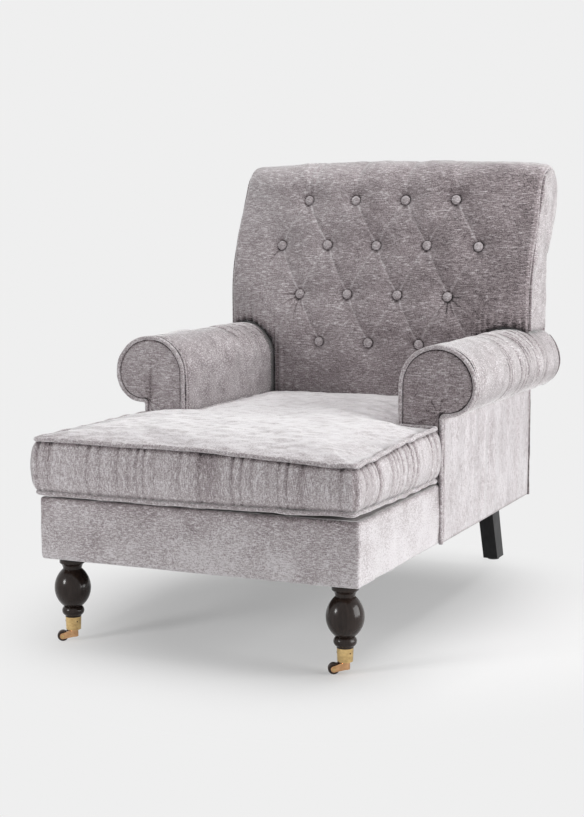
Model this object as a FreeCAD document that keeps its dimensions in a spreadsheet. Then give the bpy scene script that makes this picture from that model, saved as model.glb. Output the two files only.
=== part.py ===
"""Upholstered chaise armchair with rolled arms, a buttoned scroll back and turned front legs on castors.

Frame of the part, in millimetres: +X to the right as seen from the front, +Y to the rear, +Z up.
The origin is on the floor, under the centre of the chair's bounding box.
"""

import FreeCAD, Part
import math
import os

import Sketcher
from FreeCAD import Placement, Rotation, Vector

OUT = "parts"

# Driving sizes: alias, value in millimetres or degrees, what it measures
SIZES = [
    ("leg_height", 174, "floor to the underside of the seat box"),
    ("base_height", 125, "height of the seat box"),
    ("base_depth", 1099, "front of the seat box to the rear of the outside back"),
    ("arm_setback", 447, "front of the seat box to the front of the arms"),
    ("inner_width", 500, "clear width between the arms"),
    ("arm_width", 99, "inner face of an arm to its outer panel"),
    ("roll_radius", 85, "radius of the rolled arm"),
    ("roll_rise", 203, "top of the seat box to the axis of the rolled arm"),
    ("roll_drop", 64, "axis of the rolled arm to where it meets the outer arm panel"),
    ("panel_step", 8, "outer arm panel proud of the seat box"),
    ("arm_pad", 14, "thickness of the arm upholstery"),
    ("arm_board", 3, "thickness of the fibreboard under the arm upholstery"),
    ("arm_facing", 8, "thickness of the padded facing on the front of an arm"),
    ("outside_back", 10, "thickness of the outside back panel"),
    ("outside_back_rise", 456, "top of the seat box to the top of the outside back panel"),
    ("band_pad", 10, "thickness of the cover on the seat box"),
    ("band_corner", 7, "radius of the cover at the front corners of the seat box"),
    ("board", 25, "thickness of the frame boards"),
    ("block", 60, "height and reach of the corner blocks"),
    ("block_nose", 12, "thickness of a corner block at its ends"),
    ("arm_rail", 50, "width and height of the rail inside an arm"),
    ("dust_cloth", 1.5, "thickness of the cloth under the seat box"),
    ("dust_hem", 5, "dust cloth inside the edge of the rails"),
    ("webbing", 2, "thickness of one layer of webbing"),
    ("webbing_width", 60, "width of a webbing strap"),
    ("deck_pad", 13, "thickness of the felt on the webbing"),
    ("deck_cover", 2, "thickness of the cover on the felt"),
    ("welt", 8, "diameter of the piping"),
    ("welt_proud", 2, "piping proud of the face it edges"),
    ("cushion_inset", 1, "seat cushion inside the sides of the seat box"),
    ("cushion_overhang", 19, "seat cushion in front of the seat box"),
    ("cushion_boxing", 108, "height between the two pipings of the seat cushion"),
    ("cushion_rise", 10.5, "top of the seat box to the lower piping of the seat cushion"),
    ("cushion_crown", 22, "rise of the seat cushion above its upper piping"),
    ("cushion_bulge", 3, "bulge of the seat cushion's sides"),
    ("cushion_corner", 14, "radius of the seat cushion's corners"),
    ("cushion_tuck", 13, "underside of the seat cushion inside its piping"),
    ("back_face", 900, "front of the seat box to the foremost point of the back"),
    ("back_reach", 41, "back beyond the sides of the seat box"),
    ("back_crown", 64, "set-back of the back's edges behind its middle"),
    ("mid_scroll", 103, "radius of the scroll in the middle of the back"),
    ("mid_bend_rise", 261, "top of the seat box to where the middle of the back starts to lean"),
    ("edge_bend_rise", 421, "top of the seat box to where the edges of the back start to lean"),
    ("bend_radius", 300, "radius of the back where it starts to lean"),
    ("back_rise", 678, "top of the seat box to the top of the back in the middle"),
    ("edge_rise", 668, "top of the seat box to the top of the back at its edges"),
    ("scroll_overhang", 89, "scroll of the back behind the outside back"),
    ("edge_scroll", 74, "radius of the scroll at the back's edges"),
    ("gusset", 12, "thickness of the side panels of the back"),
    ("upright_depth", 40, "depth of the back uprights"),
    ("upright_width", 50, "width of the back uprights"),
    ("top_rail_depth", 50, "depth of the back's top rail"),
    ("top_rail_height", 60, "height of the back's top rail"),
    ("upright_rise", 551, "top of the seat box to the top of the back uprights"),
    ("upright_bend_rise", 341, "top of the seat box to where the back uprights sweep back"),
    ("upright_sweep", 42, "sweep of the back uprights"),
    ("button_pitch", 127, "distance between buttons in a row"),
    ("button_diameter", 24, "diameter of a covered button"),
    ("button_edge", 2, "height of a button's edge"),
    ("button_dome", 6, "rise of a button's dome"),
    ("tuft_depth", 16, "depth of a button's tuft"),
    ("tuft_ball", 58, "radius of the hollow round a button"),
    ("pleat_radius", 9, "radius of the pleats between buttons"),
    ("pleat_depth", 6, "depth of the pleats between buttons"),
    ("row_1_rise", 587, "top of the seat box to the top row of buttons"),
    ("row_2_rise", 479, "top of the seat box to the second row of buttons"),
    ("row_3_rise", 362, "top of the seat box to the third row of buttons"),
    ("row_4_rise", 247, "top of the seat box to the lowest row of buttons"),
    ("leg_inset", 45, "front leg axis inside the front and the side of the seat box"),
    ("ball_diameter", 73, "widest diameter of the turned leg"),
    ("ball_drop", 25, "underside of the seat box to the top of the turned ball"),
    ("ball_bottom", 73, "floor to the bottom of the turned ball"),
    ("ball_neck", 37.5, "diameter of the leg at both ends of the ball"),
    ("collar_diameter", 51, "diameter of the collar on top of the turned leg"),
    ("collar_height", 12.5, "height of the collar's flare"),
    ("collar_curve", 15, "radius of the collar's flare"),
    ("ring_diameter", 44.5, "diameter of the ring under the ball"),
    ("ring_neck", 2.8, "neck between the castor cup and the ring"),
    ("cup_top", 50.5, "floor to the rim of the castor cup"),
    ("cup_bottom", 24.5, "floor to the underside of the castor cup"),
    ("cup_diameter", 32, "diameter of the castor cup at its rim"),
    ("cup_taper", 1, "castor cup's radius less at the bottom"),
    ("cup_wall", 1.6, "wall of the castor cup"),
    ("cup_floor", 3, "floor thickness of the castor cup"),
    ("screw_height", 42, "floor to the screws of the castor cup"),
    ("screw_radius", 1.6, "shank radius of the castor cup's screws"),
    ("screw_length", 9, "length of the castor cup's screws"),
    ("wheel_radius", 11, "radius of a castor wheel"),
    ("wheel_width", 12, "width of a castor wheel"),
    ("tread_round", 2.4, "radius of the wheel's tread edges"),
    ("rim_width", 2.8, "width of the rim on the wheel's side"),
    ("wheel_dish", 1, "depth of the dished sides of the wheel"),
    ("hub_radius", 4.4, "radius of the wheel's hub"),
    ("castor_trail", 21.5, "castor swivel axis to the wheel axle"),
    ("castor_angle", 207, "direction of the castor trail at rest, from +X, in degrees"),
    ("fork_cheek", 3, "thickness of a cheek of the castor fork"),
    ("fork_crown", 9.4, "radius of the castor fork's crown"),
    ("fork_eye", 6, "radius of the fork's cheeks round the axle"),
    ("fork_top", 21.5, "floor to the top of the castor fork"),
    ("fork_bottom", 9.5, "floor to the underside of the castor fork"),
    ("axle_radius", 2, "radius of the wheel axle"),
    ("axle_head", 3, "radius of the axle's heads"),
    ("axle_cap", 1, "height of the axle's heads"),
    ("swivel_radius", 4, "radius of the castor's swivel pin"),
    ("swivel_head", 6.4, "radius of the swivel pin's head"),
    ("swivel_cap", 1.5, "height of the swivel pin's head"),
    ("tenon_gap", 1.4, "clearance above the swivel pin's head"),
    ("bolt_radius", 4, "radius of the leg bolts"),
    ("bolt_in_leg", 50, "length of a leg bolt in its leg"),
    ("bolt_in_frame", 50, "length of a leg bolt in the frame"),
    ("rear_bolt_pitch", 18, "distance between the two bolts of a rear leg"),
    ("rear_leg_side", 90, "rear leg's middle inside the side of the seat box"),
    ("rear_leg_width", 36, "width of a rear leg"),
    ("rear_leg_depth", 56, "depth of a rear leg at the top"),
    ("rear_foot_depth", 50, "depth of a rear leg at the foot"),
    ("rear_leg_inset", 3, "rear leg in front of the outside back's face"),
    ("rear_leg_rake", 60, "rake of a rear leg from top to foot"),
    ("glide_height", 5, "height of the glides under the rear legs"),
    ("glide_radius", 14, "radius of the glides under the rear legs"),
    ("soft_gap", 0.3, "clearance between soft pieces"),
    ("pin_gap", 0.05, "radial clearance of a pin or bolt in its hole"),
    ("side_play", 0.4, "clearance beside a wheel"),
    ("cushion_gap", 3, "clearance round the seat cushion"),
]

doc = FreeCAD.newDocument("armchair")
sheet = doc.addObject("Spreadsheet::Sheet", "sizes")
for row, (alias, value, note) in enumerate(SIZES, start=1):
    sheet.set(f"A{row}", note)
    sheet.set(f"B{row}", str(value))
    sheet.setAlias(f"B{row}", alias)
doc.recompute()

# Derived places live in a variable set, each bound to the sheet
places = doc.addObject("App::VarSet", "places")


class Size:
    """A number together with the expression that makes it, so that code and document agree."""

    def __init__(self, value, text):
        self.value = float(value)
        self.text = text

    @staticmethod
    def of(other):
        return other if isinstance(other, Size) else Size(other, repr(float(other)))

    def __add__(self, other):
        other = Size.of(other)
        return Size(self.value + other.value, f"({self.text} + {other.text})")

    def __sub__(self, other):
        other = Size.of(other)
        return Size(self.value - other.value, f"({self.text} - {other.text})")

    def __mul__(self, other):
        other = Size.of(other)
        return Size(self.value * other.value, f"({self.text} * {other.text})")

    def __truediv__(self, other):
        other = Size.of(other)
        return Size(self.value / other.value, f"({self.text} / {other.text})")

    def __radd__(self, other):
        return Size.of(other) + self

    def __rsub__(self, other):
        return Size.of(other) - self

    def __rmul__(self, other):
        return Size.of(other) * self

    def __neg__(self):
        return Size(-self.value, f"(-{self.text})")

    def __float__(self):
        return self.value


def root(size):
    return Size(math.sqrt(size.value), f"sqrt({size.text})")


def place(name, size):
    """A derived size, kept in the document under its own name."""
    places.addProperty("App::PropertyFloat", name, "Places")
    places.setExpression(name, size.text)
    return Size(size.value, f"places.{name}")


class Sizes:
    """The sheet's cells as attributes."""


s = Sizes()
for alias, value, note in SIZES:
    setattr(s, alias, Size(sheet.get(alias), f"sizes.{alias}"))

# Depths, from the front of the seat box
front_y = place("front_y", (s.cushion_overhang + s.welt / 2 - s.base_depth - s.scroll_overhang) / 2)
rear_y = place("rear_y", front_y + s.base_depth)
arm_front = place("arm_front", front_y + s.arm_setback)
pad_front = place("pad_front", arm_front + s.arm_facing)
pad_rear = place("pad_rear", rear_y - s.outside_back)
rail_rear = place("rail_rear", pad_rear - s.board)
upright_front = place("upright_front", rail_rear - s.upright_depth)
back_front = place("back_front", front_y + s.back_face)

# Heights
rail_bottom = place("rail_bottom", s.leg_height + s.dust_cloth)
base_top = place("base_top", s.leg_height + s.base_height)
deck_bottom = place("deck_bottom", base_top - s.deck_cover - s.deck_pad)
rail_top = place("rail_top", deck_bottom - 2 * s.webbing)
soft_floor = place("soft_floor", base_top + s.soft_gap)

# Everything above the seat box rises with it
roll_height = place("roll_height", base_top + s.roll_rise)
outside_back_top = place("outside_back_top", base_top + s.outside_back_rise)
cushion_seam = place("cushion_seam", base_top + s.cushion_rise)
mid_bend = place("mid_bend", base_top + s.mid_bend_rise)
edge_bend = place("edge_bend", base_top + s.edge_bend_rise)
back_top = place("back_top", base_top + s.back_rise)
edge_top = place("edge_top", base_top + s.edge_rise)
upright_top = place("upright_top", base_top + s.upright_rise)
upright_bend = place("upright_bend", base_top + s.upright_bend_rise)
button_row_1 = place("button_row_1", base_top + s.row_1_rise)
button_row_2 = place("button_row_2", base_top + s.row_2_rise)
button_row_3 = place("button_row_3", base_top + s.row_3_rise)
button_row_4 = place("button_row_4", base_top + s.row_4_rise)

# The turned ball of a front leg takes up what the legs gain or lose; its widest point is a share of it up
BALL_SHARE = 37 / 76
ball_top = place("ball_top", s.leg_height - s.ball_drop)
ball_middle = place("ball_middle", s.ball_bottom + BALL_SHARE * (ball_top - s.ball_bottom))

# Widths, from the middle
base_width = place("base_width", s.inner_width + 2 * (s.arm_width - s.panel_step))
cushion_width = place("cushion_width", base_width - 2 * s.cushion_inset)
back_width = place("back_width", base_width + 2 * s.back_reach)
leg_x = place("leg_x", base_width / 2 - s.leg_inset)
rear_leg_x = place("rear_leg_x", base_width / 2 - s.rear_leg_side)
rail_outer = place("rail_outer", base_width / 2 - s.band_pad)
rail_inner = place("rail_inner", rail_outer - s.board)
panel_outer = place("panel_outer", base_width / 2 + s.panel_step)
arm_inner = place("arm_inner", s.inner_width / 2)
roll_x = place("roll_x", arm_inner + s.roll_radius)
roll_outer = place("roll_outer", roll_x + s.roll_radius)
gusset_inner = place("gusset_inner", back_width / 2 - s.gusset)

# The underside of the roll is an arc from the roll's outermost point to the outer panel
under_run = roll_outer - panel_outer
under_drop = s.roll_drop
roll_underside = place("roll_underside", roll_height - under_drop)
under_radius = place("under_radius", (under_run * under_run + under_drop * under_drop) / (2 * under_run))
under_x = place("under_x", roll_outer - under_radius)

SIDES = (("left", -1), ("right", 1))

# Counts of what repeats
BUTTONS_IN_ROW = (4, 5, 4, 3)
FRONT_STRAPS, REAR_STRAPS, LONG_STRAPS = 4, 5, 4
CUP_SCREWS = 3

# Shares of the way in from the edge of the seat cushion, and of its crown's rise there
CROWN_SHARES = ((0.14, 0.58), (0.38, 0.92), (0.62, 1.0))
subparts = []


def bind(target, **expressions):
    """Binds properties to sizes; a double underscore in a name stands for a dot."""
    for name, size in expressions.items():
        target.setExpression(name.replace("__", "."), Size.of(size).text)
    return target


def keep(target, label):
    """Names a finished sub-part; its label is its file's name."""
    target.Label = label
    subparts.append(target)
    return target


def box(name, low, high):
    """A box between two corners."""
    made = doc.addObject("Part::Box", name)
    (x0, y0, z0), (x1, y1, z1) = low, high
    bind(made, Length=x1 - x0, Width=y1 - y0, Height=z1 - z0)
    return bind(made, Placement__Base__x=x0, Placement__Base__y=y0, Placement__Base__z=z0)


def cylinder(name, radius, height, x, y, z):
    """An upright cylinder on a point."""
    made = bind(doc.addObject("Part::Cylinder", name), Radius=radius, Height=height)
    return bind(made, Placement__Base__x=x, Placement__Base__y=y, Placement__Base__z=z)


def cut(name, base, *tools):
    """A base with tools cut out of it."""
    tool = tools[0]
    if len(tools) > 1:
        tool = doc.addObject("Part::Compound", name + "_tools")
        tool.Links = list(tools)
    made = doc.addObject("Part::Cut", name)
    made.Base = base
    made.Tool = tool
    return made


def group(name, members):
    made = doc.addObject("Part::Compound", name)
    made.Links = list(members)
    return made


def mirrored(name, source):
    """The piece on the left, as the mirror image of the one on the right."""
    made = doc.addObject("Part::Mirroring", name)
    made.Source = source
    made.Normal = (1, 0, 0)
    return made


def keep_pair(make, name):
    """Keeps a right piece and its mirror image on the left."""
    right = keep(make, "right_" + name)
    keep(mirrored("left_" + name, right), "left_" + name)


def body(name, x=0.0, y=0.0, z=0.0):
    made = doc.addObject("PartDesign::Body", name)
    return bind(made, Placement__Base__x=x, Placement__Base__y=y, Placement__Base__z=z)


def arc_centre(start, end, radius, turn):
    """Centre of the arc under a half circle from start to end; turn is 1 if it bends to the left, else -1."""
    chord = end - start
    middle = (start + end) * 0.5
    height = math.sqrt(max(radius * radius - chord.Length * chord.Length / 4, 0.0))
    across = Vector(-chord.y, chord.x, 0).normalize()
    return middle + across * (turn * height)


def sketch_on(owner, role, name):
    """An empty sketch on one of the body's own planes."""
    sketch = owner.newObject("Sketcher::SketchObject", name)
    plane = next(f for f in owner.Origin.OriginFeatures if f.Role == role)
    sketch.AttachmentSupport = [(plane, "")]
    sketch.MapMode = "FlatFace"
    return sketch


def constrain(sketch, kind, name, value, *where):
    """A named dimension, bound to its size."""
    index = sketch.addConstraint(Sketcher.Constraint(kind, *where, float(value)))
    sketch.renameConstraint(index, name)
    sketch.setExpression(f"Constraints.{name}", Size.of(value).text)


def pin_down(sketch, index, end, x, y):
    """Fixes a point of the sketch at its distances from the origin."""
    for kind, axis, value in (("DistanceX", -2, x), ("DistanceY", -1, y)):
        if isinstance(value, Size) or value:
            constrain(sketch, kind, f"{kind[-1].lower()}{index}_{end}", value, -1, 1, index, end)
        else:
            sketch.addConstraint(Sketcher.Constraint("PointOnObject", index, end, axis))


def draw_arc(sketch, start, end, radius, turn):
    centre = arc_centre(start, end, radius, turn)
    first, last = (start, end) if turn > 0 else (end, start)
    low = math.atan2(first.y - centre.y, first.x - centre.x)
    high = math.atan2(last.y - centre.y, last.x - centre.x)
    circle = Part.Circle(centre, Vector(0, 0, 1), radius)
    sketch.addGeometry(Part.ArcOfCircle(circle, low, high if high > low else high + 2 * math.pi), False)


def outline(owner, role, loop, closed=True):
    """A sketch of lines and arcs. A point is (x, y), or (x, y, radius, turn) where an arc leads to it."""
    sketch = sketch_on(owner, role, f"{owner.Name}_sketch_{len(owner.Group)}")
    points = loop if closed else loop[1:]
    befores = [loop[-1]] + loop[:-1] if closed else loop[:-1]
    ends = []
    for before, point in zip(befores, points):
        start = Vector(float(before[0]), float(before[1]), 0)
        end = Vector(float(point[0]), float(point[1]), 0)
        if len(point) == 2:
            sketch.addGeometry(Part.LineSegment(start, end), False)
            ends.append((1, 2))
        else:
            draw_arc(sketch, start, end, float(point[2]), point[3])
            ends.append((1, 2) if point[3] > 0 else (2, 1))
    for index, point in enumerate(points):
        if closed or index + 1 < len(points):
            after = (index + 1) % len(points)
            joined = (index, ends[index][1], after, ends[after][0])
            sketch.addConstraint(Sketcher.Constraint("Coincident", *joined))
        pin_down(sketch, index, ends[index][1], point[0], point[1])
        if len(point) == 4:
            constrain(sketch, "Radius", f"r{index}", point[2], index)
    if not closed:
        pin_down(sketch, 0, ends[0][0], loop[0][0], loop[0][1])
    return sketch


def circle_on(owner, role, x, y, radius):
    """A sketch of one circle."""
    sketch = sketch_on(owner, role, f"{owner.Name}_sketch_{len(owner.Group)}")
    sketch.addGeometry(Part.Circle(Vector(float(x), float(y), 0), Vector(0, 0, 1), float(radius)), False)
    pin_down(sketch, 0, 3, x, y)
    constrain(sketch, "Radius", "radius", radius, 0)
    return sketch


def pad(owner, sketch, length, reverse=False):
    made = owner.newObject("PartDesign::Pad", owner.Name + "_pad")
    made.Profile = sketch
    made.Reversed = reverse
    bind(made, Length=length)
    return made


def turned(owner, sketch):
    made = owner.newObject("PartDesign::Revolution", owner.Name + "_turned")
    made.Profile = sketch
    made.ReferenceAxis = (sketch, ["V_Axis"])
    made.Angle = 360
    return made


def board_on_edge(name, loop, y, thickness):
    """A board seen from the front: an outline in X and Z, from y to the rear."""
    owner = body(name, y=y)
    pad(owner, outline(owner, "XZ_Plane", loop), thickness, reverse=True)
    return owner


def board_flat(name, loop, z, thickness):
    """A sheet seen from above: an outline in X and Y, from z upwards."""
    owner = body(name, z=z)
    pad(owner, outline(owner, "XY_Plane", loop), thickness)
    return owner


# Leg bolts, which the frame and the legs are bored for

def front_bolts():
    """Axes of the bolts in the front legs, one in each."""
    return [(sign * leg_x, front_y + s.leg_inset) for side, sign in SIDES]


def rear_bolts():
    """Axes of the bolts in the rear legs, two in each, up into the rear rail."""
    y = rail_rear + s.board / 2
    steps = (-s.rear_bolt_pitch / 2, s.rear_bolt_pitch / 2)
    return [(sign * rear_leg_x + step, y) for side, sign in SIDES for step in steps]


def frame_hole(name, x, y):
    """A bolt's hole in the frame."""
    return cylinder(name, s.bolt_radius + s.pin_gap, s.bolt_in_frame, x, y, rail_bottom)


def leg_hole(name, x, y):
    """A bolt's hole in a leg."""
    return cylinder(name, s.bolt_radius + s.pin_gap, s.bolt_in_leg, x, y, s.leg_height - s.bolt_in_leg)


def leg_bolts():
    """Bolts that hold the legs to the corner blocks and the rear rail."""
    low = s.leg_height - s.bolt_in_leg
    length = s.bolt_in_leg + s.dust_cloth + s.bolt_in_frame
    bolts = []
    for index, (x, y) in enumerate(front_bolts() + rear_bolts()):
        bolts.append(cylinder(f"leg_bolt_{index}", s.bolt_radius, length, x, y, low))
    keep(group("leg_bolts", bolts), "leg_bolts")


# Seat box: rails, corner blocks, webbing, deck and cover

def seat_box():
    front_rail_y = front_y + s.band_pad
    rail_front = front_rail_y + s.board
    low, high = (-rail_outer, front_rail_y, rail_bottom), (rail_outer, rail_front, rail_top)
    keep(box("front_rail", low, high), "front_rail")
    blank = box("rear_rail_blank", (-rail_outer, rail_rear, rail_bottom), (rail_outer, pad_rear, rail_top))
    holes = [frame_hole(f"rear_rail_hole_{n}", x, y) for n, (x, y) in enumerate(rear_bolts())]
    keep(cut("rear_rail", blank, *holes), "rear_rail")
    low, high = (rail_inner, rail_front, rail_bottom), (rail_outer, rail_rear, rail_top)
    keep_pair(box("side_rail", low, high), "side_rail")


def corner_blocks():
    """Triangular blocks glued into the four corners; the front pair takes the leg bolts."""
    reach, nose = s.block, s.block_nose
    front = front_y + s.band_pad + s.board
    blocks = []
    for name, y, inward in (("front", front, 1), ("rear", rail_rear, -1)):
        corner = [(rail_inner, y), (rail_inner, y + inward * reach), (rail_inner - nose, y + inward * reach)]
        corner += [(rail_inner - reach, y + inward * nose), (rail_inner - reach, y)]
        block = board_flat(f"{name}_block", corner, rail_bottom, reach)
        if name == "front":
            block = cut("front_block_bored", block, frame_hole("front_block_hole", *front_bolts()[1]))
        blocks += [block, mirrored(f"left_{name}_block", block)]
    keep(group("corner_blocks", blocks), "corner_blocks")


def seat_webbing():
    """Straps across the side rails, clear of the arm posts, and straps lengthways on top of them."""
    end_x = rail_outer - s.webbing
    zones = (
        (front_y + s.band_pad + s.webbing, pad_front - s.webbing, FRONT_STRAPS),
        (pad_front + s.board + s.webbing, upright_front - s.webbing, REAR_STRAPS),
    )
    straps = []
    for zone, (start, end, count) in enumerate(zones):
        step = (end - start - s.webbing_width) / (count - 1)
        for index in range(count):
            y = start + index * step
            low, high = (-end_x, y, rail_top), (end_x, y + s.webbing_width, rail_top + s.webbing)
            straps.append(box(f"cross_strap_{zone}_{index}", low, high))
    low_z = rail_top + s.webbing
    spread = s.inner_width - 2 * s.webbing_width
    for index in range(LONG_STRAPS):
        x = spread * (index / (LONG_STRAPS - 1) - 0.5) - s.webbing_width / 2
        low = (x, front_y + s.band_pad + s.webbing, low_z)
        high = (x + s.webbing_width, rail_rear - s.webbing, deck_bottom)
        straps.append(box(f"long_strap_{index}", low, high))
    keep(group("seat_webbing", straps), "seat_webbing")


def deck_loop():
    """T-shaped outline of the deck: wide in front of the arms, narrow between the arm posts."""
    wide = rail_outer - s.soft_gap
    narrow = arm_inner + s.arm_pad + s.arm_board - s.soft_gap
    front = front_y + s.band_pad + s.soft_gap
    right = [(wide, front), (wide, arm_front), (narrow, arm_front), (narrow, upright_front)]
    return right + [(-x, y) for x, y in reversed(right)]


def deck():
    keep(board_flat("seat_deck_felt", deck_loop(), deck_bottom, s.deck_pad), "seat_deck_felt")
    keep(board_flat("seat_deck_cover", deck_loop(), base_top - s.deck_cover, s.deck_cover), "seat_deck_cover")


def box_cover():
    """The cover of the seat box: a front band round both corners, two side bands and the cloth underneath."""
    half = base_width / 2
    corner = s.band_corner
    front = [(-half, front_y + s.band_pad), (-half, front_y + corner), (corner - half, front_y, corner, 1)]
    front += [(half - corner, front_y), (half, front_y + corner, corner, 1), (half, front_y + s.band_pad)]
    keep(board_flat("front_band", front, s.leg_height, s.base_height), "front_band")
    low = (rail_outer, front_y + s.band_pad, s.leg_height)
    keep_pair(box("side_band", low, (half, arm_front - s.soft_gap, base_top)), "side_band")
    hem = s.dust_hem
    loop = [(rail_outer - hem, front_y + s.band_pad + hem), (rail_outer - hem, pad_rear - hem)]
    loop += [(-x, y) for x, y in reversed(loop)]
    cloth = board_flat("dust_cloth_sheet", loop, s.leg_height, s.dust_cloth)
    hole = s.bolt_radius + s.pin_gap
    holes = []
    for index, (x, y) in enumerate(front_bolts() + rear_bolts()):
        holes.append(cylinder(f"dust_hole_{index}", hole, s.dust_cloth, x, y, s.leg_height))
    keep(cut("dust_cloth", cloth, *holes), "dust_cloth")


# Arms: posts, top rail, board, upholstery, facing and piping

def roll_right(inset):
    """Half of an arm's outline, inset, from the inner face over the top to the roll's outermost point."""
    radius = s.roll_radius - inset
    top = roll_height + radius
    return [
        (arm_inner + inset, roll_height),
        (roll_x, top, radius, -1),
        (roll_outer - inset, roll_height, radius, -1),
    ]


def under_z(inset, x):
    """Height of the roll's underside, inset, above a point."""
    radius = under_radius - inset
    away = x - under_x
    return roll_height - root(radius * radius - away * away)


def arm_shell(name, outer, inner):
    """An open shell round the arm: inner face, over the roll, to its underside."""
    share_outer = (under_radius - outer) / under_radius
    share_inner = (under_radius - inner) / under_radius
    run = panel_outer - under_x
    outside = [(arm_inner + outer, soft_floor)] + roll_right(outer)
    end = (under_x + run * share_outer, roll_height - under_drop * share_outer)
    outside += [end + (under_radius - outer, -1)]
    back = roll_right(inner)
    inside = [
        (under_x + run * share_inner, roll_height - under_drop * share_inner),
        (back[2][0], back[2][1], under_radius - inner, 1),
        (back[1][0], back[1][1], s.roll_radius - inner, 1),
        (back[0][0], back[0][1], s.roll_radius - inner, 1),
        (arm_inner + inner, soft_floor),
    ]
    return board_on_edge(name, outside + inside, pad_front, pad_rear - pad_front)


def post_loop():
    """A post on the rails, with a round head that fills the arm board."""
    inset = s.arm_pad + s.arm_board + s.soft_gap
    head = roll_right(inset)
    stem = [(rail_outer, under_z(inset, rail_outer), under_radius - inset, -1), (rail_outer, rail_top)]
    return [(arm_inner + inset, rail_top)] + head + stem


def upright_room():
    """The space that a back upright takes in the arm's upholstery."""
    low = (rail_outer - s.upright_width - s.soft_gap, upright_front - s.soft_gap, roll_height)
    high = (rail_outer + s.soft_gap, rail_rear + s.soft_gap, roll_height + 2 * s.roll_radius)
    return box("upright_room", low, high)


def arm_frame():
    keep_pair(board_on_edge("arm_front_post", post_loop(), pad_front, s.board), "arm_front_post")
    keep_pair(board_on_edge("arm_rear_post", post_loop(), rail_rear, s.board), "arm_rear_post")
    half = s.arm_rail / 2
    low = (rail_outer - half, pad_front + s.board, roll_height - half)
    high = (rail_outer + half, upright_front, roll_height + half)
    keep_pair(box("arm_top_rail", low, high), "arm_top_rail")


def arm_cover():
    room = upright_room()
    inner = s.arm_pad + s.arm_board
    board = arm_shell("arm_board_shell", s.arm_pad + s.soft_gap, inner)
    keep_pair(cut("arm_board", board, room), "arm_board")
    padding = arm_shell("arm_pad_shell", Size.of(0), s.arm_pad)
    keep_pair(cut("arm_pad", padding, room), "arm_pad")
    inset = s.welt + s.soft_gap
    edge = panel_outer - inset
    loop = [(arm_inner + inset, soft_floor)] + roll_right(inset)
    loop += [(edge, under_z(inset, edge), under_radius - inset, -1), (edge, soft_floor)]
    keep_pair(board_on_edge("arm_facing", loop, arm_front, s.arm_facing - s.soft_gap), "arm_facing")
    low = (rail_outer + s.soft_gap, pad_front, s.leg_height)
    high = (panel_outer, pad_rear, roll_underside - s.soft_gap)
    keep_pair(box("arm_outer_panel", low, high), "arm_outer_panel")


def welt_path(last):
    """Centre line of an arm's piping: from the outer panel's foot, round the roll, to the last points."""
    inset = s.welt / 2
    radius = under_radius - inset
    edge = panel_outer - inset
    bend = s.welt
    reach = radius + bend
    away = edge + bend - under_x
    bend_z = roll_height - root(reach * reach - away * away)
    share = radius / reach
    touch = (under_x + away * share, roll_height - (roll_height - bend_z) * share)
    head = roll_right(inset)
    outermost = (head[2][0], head[2][1], radius, 1)
    return [(edge, s.leg_height), (edge, bend_z), touch + (bend, -1), outermost] + last


def welt(name, y, path):
    """Piping: a round profile carried along a path that starts upwards."""
    owner = body(name, y=y)
    spine = outline(owner, "XZ_Plane", path, closed=False)
    profile = circle_on(owner, "XY_Plane", 0.0, 0.0, s.welt / 2)
    bind(profile, AttachmentOffset__Base__x=path[0][0], AttachmentOffset__Base__z=path[0][1])
    pipe = owner.newObject("PartDesign::AdditivePipe", name + "_pipe")
    pipe.Profile = profile
    pipe.Spine = (spine, [f"Edge{index + 1}" for index in range(len(path) - 1)])
    return owner


def arm_welts():
    inset = s.welt / 2
    radius = s.roll_radius - inset
    head = roll_right(inset)
    over = [(x, z, radius, 1) for x, z in (head[1][:2], head[0])] + [(arm_inner + inset, soft_floor)]
    sunk = inset - s.welt_proud
    keep_pair(welt("arm_front_welt", arm_front + sunk, welt_path(over)), "arm_front_welt")
    stop = back_width / 2 + s.welt
    away = stop - roll_x
    end = [(stop, roll_height + root(radius * radius - away * away), radius, 1)]
    keep_pair(welt("arm_rear_welt", rear_y - sunk, welt_path(end)), "arm_rear_welt")


# Back: uprights, top rail, webbing, outside panel, gussets and the buttoned cushion

def frame_plane(z):
    """Depth of the uprights' front face at a height on their swept part."""
    return upright_front + s.upright_sweep * (z - upright_bend) / (upright_top - upright_bend)


def back_frame():
    owner = body("back_upright", x=rail_outer - s.upright_width)
    front = [(upright_front, rail_top), (upright_front, upright_bend)]
    front += [(upright_front + s.upright_sweep, upright_top)]
    loop = front + [(y + s.upright_depth, z) for y, z in reversed(front)]
    pad(owner, outline(owner, "YZ_Plane", loop), s.upright_width)
    keep_pair(owner, "back_upright")
    rear = upright_front + s.upright_sweep + s.upright_depth
    half = gusset_inner - s.soft_gap
    low = (-half, rear - s.top_rail_depth / 2, upright_top)
    high = (half, rear + s.top_rail_depth / 2, upright_top + s.top_rail_height)
    keep(box("back_top_rail", low, high), "back_top_rail")


def back_webbing():
    """Upright straps from the rear rail to the top rail, behind the back cushion."""
    low, high = rail_rear, upright_front + s.upright_sweep + s.upright_depth - s.top_rail_depth / 2
    face = [(low, rail_top - s.webbing_width / 2), (low, base_top)]
    face += [(high, upright_top), (high, upright_top + s.webbing_width / 2)]
    loop = face + [(y - s.webbing, z) for y, z in reversed(face)]
    spread = s.inner_width - 2 * s.webbing_width
    straps = []
    for index in range(LONG_STRAPS):
        x = spread * (index / (LONG_STRAPS - 1) - 0.5) - s.webbing_width / 2
        owner = body(f"back_strap_{index}", x=x)
        pad(owner, outline(owner, "YZ_Plane", loop), s.webbing_width)
        straps.append(owner)
    keep(group("back_webbing", straps), "back_webbing")


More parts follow.
